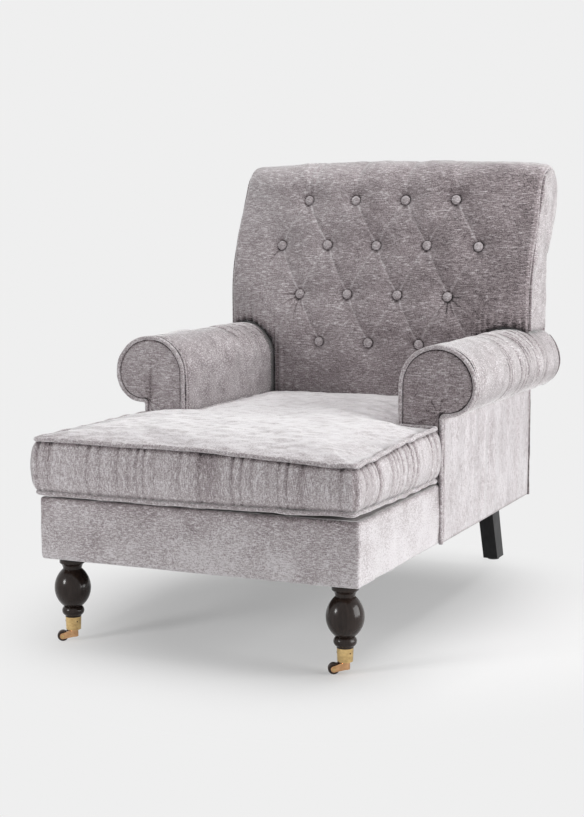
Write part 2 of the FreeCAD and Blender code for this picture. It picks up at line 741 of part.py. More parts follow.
def outside_back():
    """The flat panel behind the chair, with the round ends of both arms."""
    inset = s.welt + s.soft_gap
    edge = panel_outer - inset
    half = back_width / 2
    radius = s.roll_radius - inset
    away = half - roll_x
    low, high = under_z(inset, edge), roll_height + root(radius * radius - away * away)
    outermost, under = roll_outer - inset, under_radius - inset
    right = [(edge, s.leg_height), (edge, low), (outermost, roll_height, under, 1), (half, high, radius, 1)]
    right += [(half, outside_back_top)]
    left = [(-half, outside_back_top), (-half, high), (-outermost, roll_height, radius, 1)]
    left += [(-edge, low, under, 1), (-edge, s.leg_height)]
    keep(board_on_edge("outside_back", right + left, pad_rear, s.outside_back), "outside_back")


class BackSection:
    """The back's outline at a distance from the middle: upright, leaning, then round the scroll."""

    CROWN_POWER = 3.3

    def __init__(self, x):
        share = (abs(x) / float(gusset_inner)) ** self.CROWN_POWER

        def between(middle, edge):
            return float(middle) + (float(edge) - float(middle)) * share

        self.x = x
        self.face = between(back_front, back_front + s.back_crown)
        self.bend = between(mid_bend, edge_bend)
        self.radius = between(s.mid_scroll, s.edge_scroll)
        self.y = float(rear_y + s.scroll_overhang) - self.radius
        self.z = between(back_top, edge_top) - self.radius
        self.lean = self.tangent(self.face, self.bend, -1)
        corner = (float(rear_y), float(outside_back_top + s.soft_gap))
        self.tuck = self.tangent(*corner, 1)
        self.corner = self.at(*corner)

    def tangent(self, y, z, side):
        """Angle from upright of the line from a point that touches the scroll, on its front or its rear."""
        dy, dz = self.y - y, self.z - z
        return math.atan2(dy, dz) + side * math.asin(self.radius / math.hypot(dy, dz))

    def at(self, y, z):
        return Vector(self.x, y, z)

    def on_scroll(self, angle):
        """A point of the scroll; the angle runs from straight ahead over the top to the rear."""
        return self.at(self.y - self.radius * math.cos(angle), self.z + self.radius * math.sin(angle))

    def front_edges(self, floor):
        """Edges from the floor of the back up its face and round the scroll to the outside panel."""
        radius = float(s.bend_radius)
        reach = radius * math.tan(self.lean / 2)
        start = self.at(self.face, self.bend - reach)
        end = self.at(self.face + reach * math.sin(self.lean), self.bend + reach * math.cos(self.lean))
        half = self.lean / 2
        middle = self.at(self.face + radius * (1 - math.cos(half)), start.z + radius * math.sin(half))
        touch, leave = self.lean, math.pi + self.tuck
        crest = (touch + leave) / 2
        lengths = [touch, (touch + crest) / 2, crest, (crest + leave) / 2, leave]
        points = [self.on_scroll(angle) for angle in lengths]
        return [
            Part.LineSegment(self.at(self.face, floor), start).toShape(),
            Part.Arc(start, middle, end).toShape(),
            Part.LineSegment(end, points[0]).toShape(),
            Part.Arc(points[0], points[1], points[2]).toShape(),
            Part.Arc(points[2], points[3], points[4]).toShape(),
            Part.LineSegment(points[4], self.corner).toShape(),
        ]

    def closed(self, floor, rear):
        """The whole section, closed by the points behind it."""
        edges = self.front_edges(floor)
        points = [self.corner] + [self.at(y, z) for y, z in rear] + [self.at(self.face, floor)]
        edges += [Part.LineSegment(a, b).toShape() for a, b in zip(points, points[1:])]
        return Part.Wire(edges)

    def surface(self, height):
        """The point of the face at a height, and the direction that faces out of it."""
        touch = self.z + self.radius * math.sin(self.lean)
        if height < self.bend:
            y, lean = self.face, 0.0
        elif height < touch:
            y, lean = self.face + (height - self.bend) * math.tan(self.lean), self.lean
        else:
            lean = math.asin((height - self.z) / self.radius)
            y = self.y - self.radius * math.cos(lean)
        return self.at(y, height), Vector(0, -math.cos(lean), math.sin(lean))


def feature(name, shape):
    made = doc.addObject("Part::Feature", name)
    made.Shape = shape
    return made


def roll_room(sign):
    """The space of a rolled arm, with a soft clearance."""
    gap, radius = float(s.soft_gap), float(s.roll_radius)
    start, length = float(pad_front), float(rear_y - pad_front) + radius
    centre = Vector(sign * float(roll_x), start, float(roll_height))
    roll = Part.makeCylinder(radius + gap, length, centre, Vector(0, 1, 0))
    inner = float(arm_inner) - gap
    low = Vector(inner if sign > 0 else -inner - 4 * radius, start, 0)
    return roll.fuse(Part.makeBox(4 * radius, length, float(roll_height), low))


def button_rows():
    """Buttons by row, from the top: every second row is shifted by half a pitch."""
    rows = []
    pitch = float(s.button_pitch)
    heights = (button_row_1, button_row_2, button_row_3, button_row_4)
    for height, count in zip(heights, BUTTONS_IN_ROW):
        rows.append([((index - (count - 1) / 2) * pitch, float(height)) for index in range(count)])
    return rows


def pleat_ends():
    """Pairs of places that a pleat runs between: each button and its neighbours in the next row."""
    rows = button_rows()
    pitch = float(s.button_pitch)
    lowest = rows[-1]
    beside = [(lowest[0][0] - pitch, lowest[0][1])] + lowest + [(lowest[-1][0] + pitch, lowest[-1][1])]
    pairs = []
    for upper, lower in zip(rows, rows[1:-1] + [beside]):
        pairs += [(a, b) for a in upper for b in lower if abs(a[0] - b[0]) < 0.6 * pitch]
    edge = float(back_width / 2)
    for x, z in (rows[1][0], rows[1][-1]):
        pairs.append(((x, z), (math.copysign(edge, x), z)))
    return pairs


def back_cushion(carried):
    """The stuffed back: lofted over its width, hollowed at every button, with pleats between them."""
    gap = float(s.soft_gap)
    floor = float(soft_floor)
    plane = float(upright_front) - gap
    top = float(outside_back_top) + gap
    rear = [(float(frame_plane(Size.of(top))) - gap, top), (plane, float(upright_bend)), (plane, floor)]
    half = float(gusset_inner) - gap
    wires = [BackSection(share * half).closed(floor, rear) for share in (-1, -0.85, -0.6, 0, 0.6, 0.85, 1)]
    shape = Part.makeLoft(wires, True)
    ball, depth = float(s.tuft_ball), float(s.tuft_depth)
    for x, z in sum(button_rows(), []):
        point, out = BackSection(x).surface(z)
        shape = shape.cut(Part.makeSphere(ball, point + out * (ball - depth)))
    radius = float(s.pleat_radius)
    above = radius - float(s.pleat_depth)
    for (x0, z0), (x1, z1) in pleat_ends():
        start, out0 = BackSection(x0).surface(z0)
        end, out1 = BackSection(x1).surface(z1)
        start, end = start + out0 * above, end + out1 * above
        shape = shape.cut(Part.makeCylinder(radius, (end - start).Length, start, end - start))
    tools = [roll_room(1), roll_room(-1)] + [piece.Shape for piece in carried]
    shape = shape.cut(tools)
    keep(feature("back_cushion", shape), "back_cushion")


def back_buttons():
    """Covered buttons, each seated in its hollow."""
    owner = body("button")
    radius, ball, depth = s.button_diameter / 2, s.tuft_ball, s.tuft_depth
    lower = ball - s.soft_gap
    rise = lower - root(lower * lower - radius * radius)
    seat = s.soft_gap - depth
    edge, dome = s.button_edge, s.button_dome
    loop = [(0.0, seat), (radius, seat + rise, lower, 1), (radius, seat + rise + edge)]
    crown = (radius * radius + dome * dome) / (2 * dome)
    loop += [(0.0, seat + rise + edge + dome, crown, 1)]
    turned(owner, outline(owner, "XZ_Plane", loop))
    doc.recompute()
    made = []
    for x, z in sum(button_rows(), []):
        point, out = BackSection(x).surface(z)
        button = owner.Shape.copy()
        button.Placement = Placement(point, Rotation(Vector(0, 0, 1), out))
        made.append(button)
    keep(feature("back_buttons", Part.makeCompound(made)), "back_buttons")


def back_gussets():
    """Side panels of the back, standing on the rolled arms."""
    rear = float(pad_rear)
    floor = float(roll_height)
    top = float(outside_back_top + s.soft_gap)
    wire = BackSection(float(gusset_inner)).closed(floor, [(rear, top), (rear, floor)])
    solid = Part.Face(wire).extrude(Vector(float(s.gusset), 0, 0))
    keep_pair(feature("back_gusset", solid.cut(roll_room(1))), "back_gusset")


# Seat cushion: a boxed T-shaped cushion with piping round both seams

def rounded(corners, radius, z):
    """A closed wire of lines and quarter arcs round square corners."""
    starts, middles, ends = [], [], []
    for index, (x, y) in enumerate(corners):
        corner = Vector(x, y, z)
        before = Vector(*corners[index - 1], z) - corner
        after = Vector(*corners[(index + 1) % len(corners)], z) - corner
        before.normalize()
        after.normalize()
        starts.append(corner + before * radius)
        ends.append(corner + after * radius)
        middles.append(corner + (before + after) * (radius * (1 - math.sqrt(0.5))))
    edges = []
    for index in range(len(corners)):
        edges.append(Part.LineSegment(ends[index - 1], starts[index]).toShape())
        edges.append(Part.Arc(starts[index], middles[index], ends[index]).toShape())
    return Part.Wire(edges)


def cushion_half():
    """Half the width of the cushion between the arms, at the piping's middle."""
    return float(arm_inner - s.cushion_gap - s.welt / 2)


def cushion_wire(inset, z):
    """T-shaped outline of the cushion, inset, at a height."""
    corner = float(s.cushion_corner)
    wide, narrow = float(cushion_width) / 2 - inset, cushion_half() - inset
    room = float(s.cushion_gap + s.welt / 2) + inset
    front = float(front_y - s.cushion_overhang) + inset
    ear = float(arm_front - s.welt_proud) - room
    rear = float(back_front) - room
    right = [(wide, front), (wide, ear), (narrow, ear), (narrow, rear)]
    return rounded(right + [(-x, y) for x, y in reversed(right)], corner, z)


def seat_cushion():
    welt_half = float(s.welt) / 2
    groove = welt_half + float(s.soft_gap)
    low = float(cushion_seam)
    high = low + float(s.cushion_boxing)
    bottom, crown = float(soft_floor), float(s.cushion_crown)
    half = cushion_half()

    def skin(levels, ruled):
        return Part.makeLoft([cushion_wire(inset, z) for inset, z in levels], True, ruled)

    under = (groove, low - welt_half)
    swell = (-float(s.cushion_bulge), (low + high) / 2)
    boxing = [(groove, low + welt_half), swell, (groove, high - welt_half)]
    rim = (groove, high + welt_half)
    rise = crown - welt_half
    top = [rim] + [(groove + half * share, rim[1] + rise * up) for share, up in CROWN_SHARES]
    layers = [skin([(float(s.cushion_tuck), bottom), under], True), skin([under, boxing[0]], True)]
    layers += [skin(boxing, False), skin([boxing[2], rim], True), skin(top, False)]
    keep(feature("seat_cushion", layers[0].multiFuse(layers[1:]).removeSplitter()), "seat_cushion")
    for label, z in (("top", high), ("bottom", low)):
        path = cushion_wire(0.0, z)
        start = path.Edges[0].Vertexes[0].Point
        along = path.Edges[0].tangentAt(path.Edges[0].FirstParameter)
        profile = Part.Wire(Part.Circle(start, along, welt_half).toShape())
        piping = path.makePipeShell([profile], True, False)
        keep(feature(f"seat_{label}_welt", piping), f"seat_cushion_{label}_welt")


# Legs: turned in front, raked boards behind

def pin_head_top():
    """Height of the top of the swivel pin's head, inside the castor cup."""
    return s.cup_bottom + s.cup_floor + s.pin_gap + s.swivel_cap


def tenon_radius():
    """Radius of the leg inside the castor cup."""
    return s.cup_diameter / 2 - s.cup_taper - s.cup_wall - s.pin_gap


def ball_radius(height):
    """Radius of the arc from a neck of the ball to its widest point."""
    out = (s.ball_diameter - s.ball_neck) / 2
    return (out * out + height * height) / (2 * out)


def front_leg_loop():
    """Half the profile of a turned leg: tenon, ring, ball and collar."""
    tenon, neck, rim = tenon_radius(), s.ball_neck / 2, s.cup_diameter / 2
    ring, collar = s.ring_diameter / 2, s.collar_diameter / 2
    foot = pin_head_top() + s.tenon_gap
    ring_low = s.cup_top + s.ring_neck
    ring_half = (s.ball_bottom - ring_low) / 2
    out = ring - rim
    ring_arc = (out * out + ring_half * ring_half) / (2 * out)
    ball = s.ball_diameter / 2
    drop, lift = ball_middle - s.ball_bottom, ball_top - ball_middle
    return [
        (0.0, foot), (tenon, foot), (tenon, s.cup_top), (rim, s.cup_top), (rim, ring_low),
        (ring, ring_low + ring_half, ring_arc, 1), (rim, s.ball_bottom, ring_arc, 1),
        (neck, s.ball_bottom), (ball, ball_middle, ball_radius(drop), 1),
        (neck, ball_top, ball_radius(lift), 1), (collar, ball_top + s.collar_height, s.collar_curve, -1),
        (collar, s.leg_height), (0.0, s.leg_height),
    ]


def screws(name, sign, radius):
    """Shanks that point at a leg's axis through the wall of its castor cup."""
    made = []
    reach = s.cup_diameter / 2
    for index in range(CUP_SCREWS):
        angle = math.pi / 2 + 2 * math.pi * index / CUP_SCREWS
        out = Vector(math.cos(angle), math.sin(angle), 0)
        shank = bind(doc.addObject("Part::Cylinder", f"{name}_{index}"), Radius=radius, Height=s.screw_length)
        shank.Placement = Placement(Vector(0, 0, 0), Rotation(Vector(0, 0, 1), -out))
        bind(shank, Placement__Base__x=sign * leg_x + reach * out.x)
        bind(shank, Placement__Base__y=front_y + s.leg_inset + reach * out.y)
        made.append(bind(shank, Placement__Base__z=s.screw_height))
    return made


def front_legs():
    """Turned legs in their castor cups, each cup held by screws."""
    y = front_y + s.leg_inset
    pilot = s.screw_radius + s.pin_gap
    fasteners = []
    for side, sign in SIDES:
        x = sign * leg_x
        leg = body(f"{side}_leg_blank", x=x, y=y)
        turned(leg, outline(leg, "XZ_Plane", front_leg_loop()))
        bores = [leg_hole(f"{side}_leg_bore", x, y)] + screws(f"{side}_leg_pilot", sign, pilot)
        keep(cut(f"{side}_front_leg", leg, *bores), f"{side}_front_leg")
        cup = body(f"{side}_cup_blank", x=x, y=y)
        turned(cup, outline(cup, "XZ_Plane", cup_loop()))
        keep(cut(f"{side}_castor_cup", cup, *screws(f"{side}_cup_hole", sign, pilot)), f"{side}_castor_cup")
        fasteners += screws(f"{side}_screw", sign, s.screw_radius)
    keep(group("castor_cup_screws", fasteners), "castor_cup_screws")


def rear_legs():
    """Raked board legs, each on a glide."""
    owner = body("rear_leg_blank", x=rear_leg_x - s.rear_leg_width / 2)
    back = rear_y - s.rear_leg_inset
    foot = back + s.rear_leg_rake
    loop = [(back - s.rear_leg_depth, s.leg_height), (foot - s.rear_foot_depth, s.glide_height)]
    loop += [(foot, s.glide_height), (back, s.leg_height)]
    pad(owner, outline(owner, "YZ_Plane", loop), s.rear_leg_width)
    holes = [leg_hole(f"rear_leg_bore_{n}", x, y) for n, (x, y) in enumerate(rear_bolts()[2:])]
    keep_pair(cut("rear_leg", owner, *holes), "rear_leg")
    y = foot - s.rear_foot_depth / 2
    glides = []
    for side, sign in SIDES:
        glides.append(cylinder(f"{side}_glide", s.glide_radius, s.glide_height, sign * rear_leg_x, y, 0.0))
    keep(group("rear_leg_glides", glides), "rear_leg_glides")


# Castors: brass cups, swivelling forks and wheels

def cup_loop():
    """Half the profile of a castor cup, open above, with a hole for the swivel pin."""
    rim, bore = s.cup_diameter / 2, s.swivel_radius + s.pin_gap
    foot = rim - s.cup_taper
    inside = s.cup_bottom + s.cup_floor
    return [
        (bore, s.cup_bottom), (foot, s.cup_bottom), (rim, s.cup_top), (rim - s.cup_wall, s.cup_top),
        (foot - s.cup_wall, inside), (bore, inside),
    ]


def fork_width():
    return s.wheel_width + 2 * s.side_play + 2 * s.fork_cheek


def stand(target, sign):
    """Stands a castor piece on its swivel axis, turned to its resting direction."""
    target.Placement = Placement(Vector(0, 0, 0), Rotation(Vector(0, 0, 1), float(s.castor_angle)))
    bind(target, Placement__Rotation__Angle=s.castor_angle)
    return bind(target, Placement__Base__x=sign * leg_x, Placement__Base__y=front_y + s.leg_inset)


def through(owner, sketch):
    made = owner.newObject("PartDesign::Pocket", f"{owner.Name}_pocket_{len(owner.Group)}")
    made.Profile = sketch
    made.Type = 1
    made.Midplane = True
    return made


def castor_fork(side, sign):
    """A forked horn: a round crown on the swivel pin and two cheeks that reach to the axle."""
    owner = doc.addObject("PartDesign::Body", f"{side}_castor_fork")
    eye = s.fork_eye
    axle_x, axle_z = s.castor_trail, s.wheel_radius
    tip = s.castor_trail + eye
    cheek = [(0.0, s.fork_bottom), (axle_x, axle_z - eye), (tip, axle_z, eye, 1)]
    cheek += [(axle_x, axle_z + eye, eye, 1), (s.fork_crown, s.fork_top), (0.0, s.fork_top)]
    cheeks = pad(owner, outline(owner, "XZ_Plane", cheek), fork_width())
    cheeks.Midplane = True
    ring = circle_on(owner, "XY_Plane", 0.0, 0.0, s.fork_crown)
    bind(ring, AttachmentOffset__Base__z=s.fork_bottom)
    pad(owner, ring, s.fork_top - s.fork_bottom)
    half = s.wheel_width / 2 + s.side_play
    near, far = s.castor_trail - s.wheel_radius - 2 * s.side_play, tip + eye
    slot = [(near, -half), (far, -half), (far, half), (near, half)]
    through(owner, outline(owner, "XY_Plane", slot))
    through(owner, circle_on(owner, "XY_Plane", 0.0, 0.0, s.swivel_radius))
    through(owner, circle_on(owner, "XZ_Plane", axle_x, axle_z, s.axle_radius))
    keep(stand(owner, sign), f"{side}_castor_fork")


def swivel_pin(side, sign):
    """The pin that the fork turns on: a collar under the cup and a riveted head inside it."""
    owner = body(f"{side}_castor_pin", x=sign * leg_x, y=front_y + s.leg_inset)
    collar, head = s.fork_crown, s.swivel_head
    top = pin_head_top()
    head_low = top - s.swivel_cap
    loop = [
        (0.0, s.fork_bottom), (s.swivel_radius, s.fork_bottom), (s.swivel_radius, s.fork_top),
        (collar, s.fork_top), (collar, s.cup_bottom - s.pin_gap), (s.swivel_radius, s.cup_bottom - s.pin_gap),
        (s.swivel_radius, head_low), (head, head_low), (head, top), (0.0, top),
    ]
    turned(owner, outline(owner, "XZ_Plane", loop))
    keep(owner, f"{side}_castor_pin")


def wheel_and_axle(side, sign):
    """A turned wheel with a rounded tread, and the axle riveted in the fork."""
    half, radius, bore = s.wheel_width / 2, s.wheel_radius, s.axle_radius + s.pin_gap
    soft, hub, dish = s.tread_round, s.hub_radius, s.wheel_dish
    rim = radius - s.rim_width
    low = half - dish
    right = [(bore, half), (hub, half), (hub, low), (rim, low), (rim, half), (radius - soft, half)]
    right += [(radius, half - soft, soft, -1)]
    left = [(radius, soft - half), (radius - soft, -half, soft, -1), (rim, -half), (rim, -low), (hub, -low)]
    left += [(hub, -half), (bore, -half)]
    reach = fork_width() / 2
    cap, head = s.axle_head, s.axle_cap
    shank = s.axle_radius
    pin = [(0.0, -reach - head), (cap, -reach - head), (cap, -reach), (shank, -reach), (shank, reach)]
    pin += [(cap, reach), (cap, reach + head), (0.0, reach + head)]
    for name, loop in (("castor_wheel", right + left), ("castor_axle", pin)):
        owner = doc.addObject("PartDesign::Body", f"{side}_{name}")
        sketch = outline(owner, "XY_Plane", loop)
        bind(sketch, AttachmentOffset__Base__x=s.castor_trail, AttachmentOffset__Base__z=s.wheel_radius)
        turned(owner, sketch)
        keep(stand(owner, sign), f"{side}_{name}")


def castors():
    for side, sign in SIDES:
        castor_fork(side, sign)
        swivel_pin(side, sign)
        wheel_and_axle(side, sign)


def check_and_write():
    """Stops at a failed object or a broken shape, then writes every sub-part."""
    doc.recompute()
    failed = [o.Name for o in doc.Objects if {"Invalid", "Error"} & set(o.State)]
    broken = [p.Label for p in subparts if p.Shape.isNull() or not p.Shape.isValid()]
    if failed or broken:
        raise SystemExit(f"failed objects {failed}, broken shapes {broken}")
    os.makedirs(OUT, exist_ok=True)
    for piece in subparts:
        piece.Shape.exportStep(f"{OUT}/{piece.Label}.step")
    print(len(subparts), "sub-parts")


seat_box()
corner_blocks()
seat_webbing()
deck()
box_cover()
arm_frame()
arm_cover()
arm_welts()
back_frame()
back_webbing()
outside_back()
doc.recompute()
frame_pieces = ("right_back_upright", "left_back_upright", "back_top_rail", "back_webbing")
back_cushion([piece for piece in subparts if piece.Label in frame_pieces])
back_buttons()
back_gussets()
seat_cushion()
leg_bolts()
front_legs()
rear_legs()
castors()
check_and_write()
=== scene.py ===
# %% [markdown]
# This lesson dresses a chaise armchair: rolled arms, a buttoned scroll back, one long T-shaped seat
# cushion, turned front legs on brass castors and two raked legs behind.
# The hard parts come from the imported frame. Every soft part is made here as a numpy surface, because
# stuffed cloth needs swells, creases and puckers that a solid modeller leaves out.

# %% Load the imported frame
import math

import bpy
import numpy as np
from mathutils import Matrix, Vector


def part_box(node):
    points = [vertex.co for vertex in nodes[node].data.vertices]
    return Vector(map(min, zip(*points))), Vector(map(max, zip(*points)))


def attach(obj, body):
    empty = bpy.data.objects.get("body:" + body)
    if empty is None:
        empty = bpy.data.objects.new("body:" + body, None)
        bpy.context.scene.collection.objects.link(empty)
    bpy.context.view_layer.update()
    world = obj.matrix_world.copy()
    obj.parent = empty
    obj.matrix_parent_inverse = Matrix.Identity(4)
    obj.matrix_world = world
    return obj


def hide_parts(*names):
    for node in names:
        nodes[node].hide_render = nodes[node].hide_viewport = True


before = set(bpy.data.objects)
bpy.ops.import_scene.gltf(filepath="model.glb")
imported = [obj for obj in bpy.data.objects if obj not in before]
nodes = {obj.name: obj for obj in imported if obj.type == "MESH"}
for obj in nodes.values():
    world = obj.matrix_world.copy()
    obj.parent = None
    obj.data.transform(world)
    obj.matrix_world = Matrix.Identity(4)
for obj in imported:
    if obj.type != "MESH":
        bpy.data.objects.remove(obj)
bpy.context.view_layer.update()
scene = bpy.context.scene

# %% [markdown]
# The camera stands a little above the arm, to the right of the front, as the photographer did.
# Its place came from fitting known edges of the chair to the picture, so it is written as an eye point
# and three turns, and the lens is long because the vertical edges hardly converge.

# %% Camera
AZIMUTH, ELEVATION, ROLL = np.radians([24.504, 7.451, -0.224])
EYE = (1.4227, -3.3063, 0.8706)
LENS_MM, SENSOR_MM, SHIFT = 72.25, 36.0, (0.0166, 0.0141)


def standing(right, up, back, place):
    """The matrix of a camera or lamp, whose columns are its three axes and its place."""
    return Matrix(np.vstack([np.column_stack([right, up, back, place]), [0, 0, 0, 1]]).tolist())


backward = np.array([
    math.sin(AZIMUTH) * math.cos(ELEVATION),
    -math.cos(AZIMUTH) * math.cos(ELEVATION),
    math.sin(ELEVATION),
])
level_right = np.array([math.cos(AZIMUTH), math.sin(AZIMUTH), 0.0])
level_up = np.cross(backward, level_right)
right = math.cos(ROLL) * level_right + math.sin(ROLL) * level_up
upward = math.cos(ROLL) * level_up - math.sin(ROLL) * level_right
lens = bpy.data.cameras.new("camera")
lens.lens, lens.sensor_width, lens.sensor_fit = LENS_MM, SENSOR_MM, "AUTO"
lens.shift_x, lens.shift_y = SHIFT
camera = bpy.data.objects.new("camera", lens)
camera.matrix_world = standing(right, upward, backward, EYE)
scene.collection.objects.link(camera)
scene.camera = camera
print("camera at", EYE, "lens", lens.lens)

# %% [markdown]
# A material is a small tree of nodes. Writing shader maths as Python expressions keeps it readable:
# a Wire wraps one socket, and adding or multiplying wires adds the Math nodes.
# Any other node comes from one method of Tree, which takes its type, its settings and its sockets.

# %% Shader maths
class Wire:
    """A socket whose arithmetic adds Math nodes to its owner's tree."""

    def __init__(self, owner, socket):
        self.owner, self.socket = owner, socket

    def math(self, operation, first, second):
        """Adds one Math node."""
        return self.owner.add("ShaderNodeMath", {"operation": operation}, {0: first, 1: second})

    def __add__(self, other):
        return self.math("ADD", self, other)

    def __sub__(self, other):
        return self.math("SUBTRACT", self, other)

    def __mul__(self, other):
        return self.math("MULTIPLY", self, other)

    def __pow__(self, other):
        return self.math("POWER", self, other)

    def __rsub__(self, other):
        return self.math("SUBTRACT", other, self)

    __radd__, __rmul__ = __add__, __mul__


class Tree:
    """A tree of nodes, with a method that adds any node to it."""

    def __init__(self, tree):
        self.tree = tree

    def add(self, kind, settings=None, sockets=None, output=0):
        """Adds a node, sets its own settings first, then feeds its sockets, named or numbered."""
        node = self.tree.nodes.new(kind)
        for key, value in (settings or {}).items():
            if key == "stops":
                self.stops(node.color_ramp, value)
            else:
                setattr(node, key, value)
        for key, value in (sockets or {}).items():
            self.feed(node.inputs[key], value)
        return Wire(self, node.outputs[output])

    def stops(self, ramp, stops):
        """Gives a colour ramp its stops, each a place and a colour."""
        while len(ramp.elements) < len(stops):
            ramp.elements.new(0.5)
        for element, (place, colour) in zip(ramp.elements, stops):
            element.position, element.color = place, (*colour, 1.0)

    def feed(self, socket, value):
        """Links a wire to a socket, or gives the socket a plain value."""
        if isinstance(value, Wire):
            self.tree.links.new(value.socket, socket)
        elif socket.type == "RGBA" and len(value) == 3:
            socket.default_value = (*value, 1.0)
        else:
            socket.default_value = value

    def blend(self, factor, first, second):
        """A colour between two colours."""
        settings = {"data_type": "RGBA", "clamp_factor": True}
        return self.add("ShaderNodeMix", settings, {0: factor, 6: first, 7: second}, output=2)

    def background_rays(self):
        """1 on the rays that show the background: from the camera, off gloss and through glass."""
        rays = self.add("ShaderNodeLightPath").socket.node
        kinds = ("Is Camera Ray", "Is Glossy Ray", "Is Transmission Ray")
        camera, gloss, glass = (Wire(self, rays.outputs[kind]) for kind in kinds)
        return camera.math("MAXIMUM", camera, gloss.math("MAXIMUM", gloss, glass))


class Finish(Tree):
    """One material with a Principled shader."""

    def __init__(self, name, **constants):
        self.material = bpy.data.materials.new(name)
        self.material.use_nodes = True
        super().__init__(self.material.node_tree)
        self.shader = self.tree.nodes["Principled BSDF"]
        self.set(**constants)

    def set(self, **values):
        """Feeds the shader's own sockets; an underscore in a name stands for a space."""
        for name, value in values.items():
            self.feed(self.shader.inputs[name.replace("_", " ")], value)

    def noise(self, scale, detail=2.0, rough=0.5):
        """A cloudy value round 0.5 on object coordinates; scale is waves per metre along each axis."""
        here = self.add("ShaderNodeTexCoord", output=3)
        place = self.add("ShaderNodeMapping", None, {0: here, 3: scale})
        sockets = {"Vector": place, "Scale": 1.0, "Detail": detail, "Roughness": rough}
        return self.add("ShaderNodeTexNoise", None, sockets)

    def attribute(self, name):
        """A number that the piece carries at each of its points, and 0 where it carries none."""
        return self.add("ShaderNodeAttribute", {"attribute_name": name}, output=2)

    def ramp(self, factor, *stops):
        """A colour from a row of stops."""
        return self.add("ShaderNodeValToRGB", {"stops": stops}, {0: factor})

    def bump(self, height, strength, distance):
        """Roughens the shading by a height; the distance is in metres."""
        sockets = {"Height": height, "Strength": strength, "Distance": distance}
        self.set(Normal=self.add("ShaderNodeBump", None, sockets))


print("shader helpers ready")

# %% [markdown]
# The cover is a soft chenille: a mauve-grey yarn. Each panel has its own copy, drawn lighter or darker
# as painted light for how the light falls on that panel.
# Three things make it up: short streaks of yarn, cloudy patches of crushed pile, and a fine fuzz.
# They are noise at three sizes on object coordinates, so no unwrapping is needed. The streaks are long
# across the chair and thin in height, and one version has them upright for the outside of the arms.
# Raised to a power, the light streaks stand out as flecks, which is what the eye takes for chenille.
# A piece may carry two attributes: one of painted light and shade at each point (above 0 a painted
# highlight or lit side, below 0 painted shade in a seam, fold or corner), and turned, where the streaks
# run upright instead.

# %% Chenille
YARN_SHADE, YARN_DARK = (0.045, 0.037, 0.039), (0.205, 0.170, 0.177)
YARN_MID, YARN_LIGHT = (0.388, 0.345, 0.355), (0.67, 0.64, 0.655)
FLECK_POWER, FLECK_MEAN, FLECK_SHARE = 4, 1.25, 0.085
FUZZ_WAVES, FUZZ_SHARE, TURNED_CALM = (420.0, 420.0, 420.0), 0.8, 0.7
# Detail and roughness of the noise
YARN_NOISE, PILE_NOISE = (2.0, 0.6), (4.0, 0.62)


def chenille(name, streak, patch, patchy, panel_light=0.0, turned=None, grain=1.15):
    """Chenille; streak and patch are waves per metre along x, y and z, patchy the strength of the crush.

    Panel_light is painted light, how much lighter or darker this copy is drawn for the light on its panel,
    turned the waves of the streaks where the attribute of that name is 1, and grain the strength of the
    streaks.
    """
    cloth = Finish(name, Sheen_Weight=1.0, Sheen_Roughness=0.42, Specular_IOR_Level=0.1)
    yarn = cloth.noise(streak, *YARN_NOISE)
    if turned:
        share = cloth.attribute("turned")
        yarn = yarn * (1 - share) + cloth.noise(turned, *YARN_NOISE) * share
        patchy = patchy * (1 - TURNED_CALM * share)
    pile = cloth.noise(patch, *PILE_NOISE)
    fuzz = cloth.noise(FUZZ_WAVES, 1.0)
    flecks = ((yarn * 2) ** FLECK_POWER - FLECK_MEAN) * FLECK_SHARE
    crushed = flecks * grain + (pile - 0.5) * patchy + (fuzz - 0.5) * FUZZ_SHARE
    # Painted light and shade: the attribute and the panel's own offset lighten or darken the yarn's
    # colour.
    tone = crushed + cloth.attribute("nap") + (0.5 + panel_light)
    colour = cloth.ramp(tone, (0.0, YARN_SHADE), (0.22, YARN_DARK), (0.5, YARN_MID), (0.78, YARN_LIGHT))
    cloth.set(Base_Color=colour, Roughness=0.97 - 0.12 * pile)
    cloth.bump(yarn * 0.6 + fuzz * 0.9 + pile * 0.4, 0.6, 0.0014)
    return cloth.material


def set_point_values(piece, values, name="nap"):
    """Puts a number per point into an attribute, by default painted light and shade; later points keep 0.
    """
    flat = np.zeros(len(piece.data.vertices), np.float32)
    flat[:values.size] = values.ravel()
    piece.data.attributes.new(name, "FLOAT", "POINT").data.foreach_set("value", flat)


# The fifth number of each is painted light: that panel's copy is drawn lighter or darker for the light on
# it.
cover_back = chenille("cover_back", (75.0, 75.0, 410.0), (9.0, 9.0, 20.0), 0.3, -0.105, grain=1.35)
cover_button = chenille("cover_button", (110.0, 110.0, 420.0), (60.0, 60.0, 60.0), 0.3, 0.05)
cover_seat = chenille("cover_seat", (34.0, 70.0, 300.0), (14.0, 26.0, 30.0), 0.6, 0.045,
                      turned=(400.0, 400.0, 80.0))
cover_upright = chenille("cover_upright", (380.0, 280.0, 85.0), (20.0, 22.0, 10.0), 0.68, 0.165, grain=1.5)
cover_arm = chenille("cover_arm", (120.0, 170.0, 390.0), (15.0, 24.0, 28.0), 0.72, -0.05, grain=1.9)
cover_band = chenille("cover_band", (110.0, 190.0, 430.0), (11.0, 16.0, 15.0), 0.55, 0.115, grain=1.4)
print("chenille for six kinds of panel")

# %% [markdown]
# Every soft piece below is a stack of closed rings: a pillow's rings shrink to its middle, a piping's
# rings follow its path, and a roll's rings follow the arm. So one builder is enough. It joins each ring
# to the next with quads, closes both ends, and turns the faces outwards by the sign of the volume.

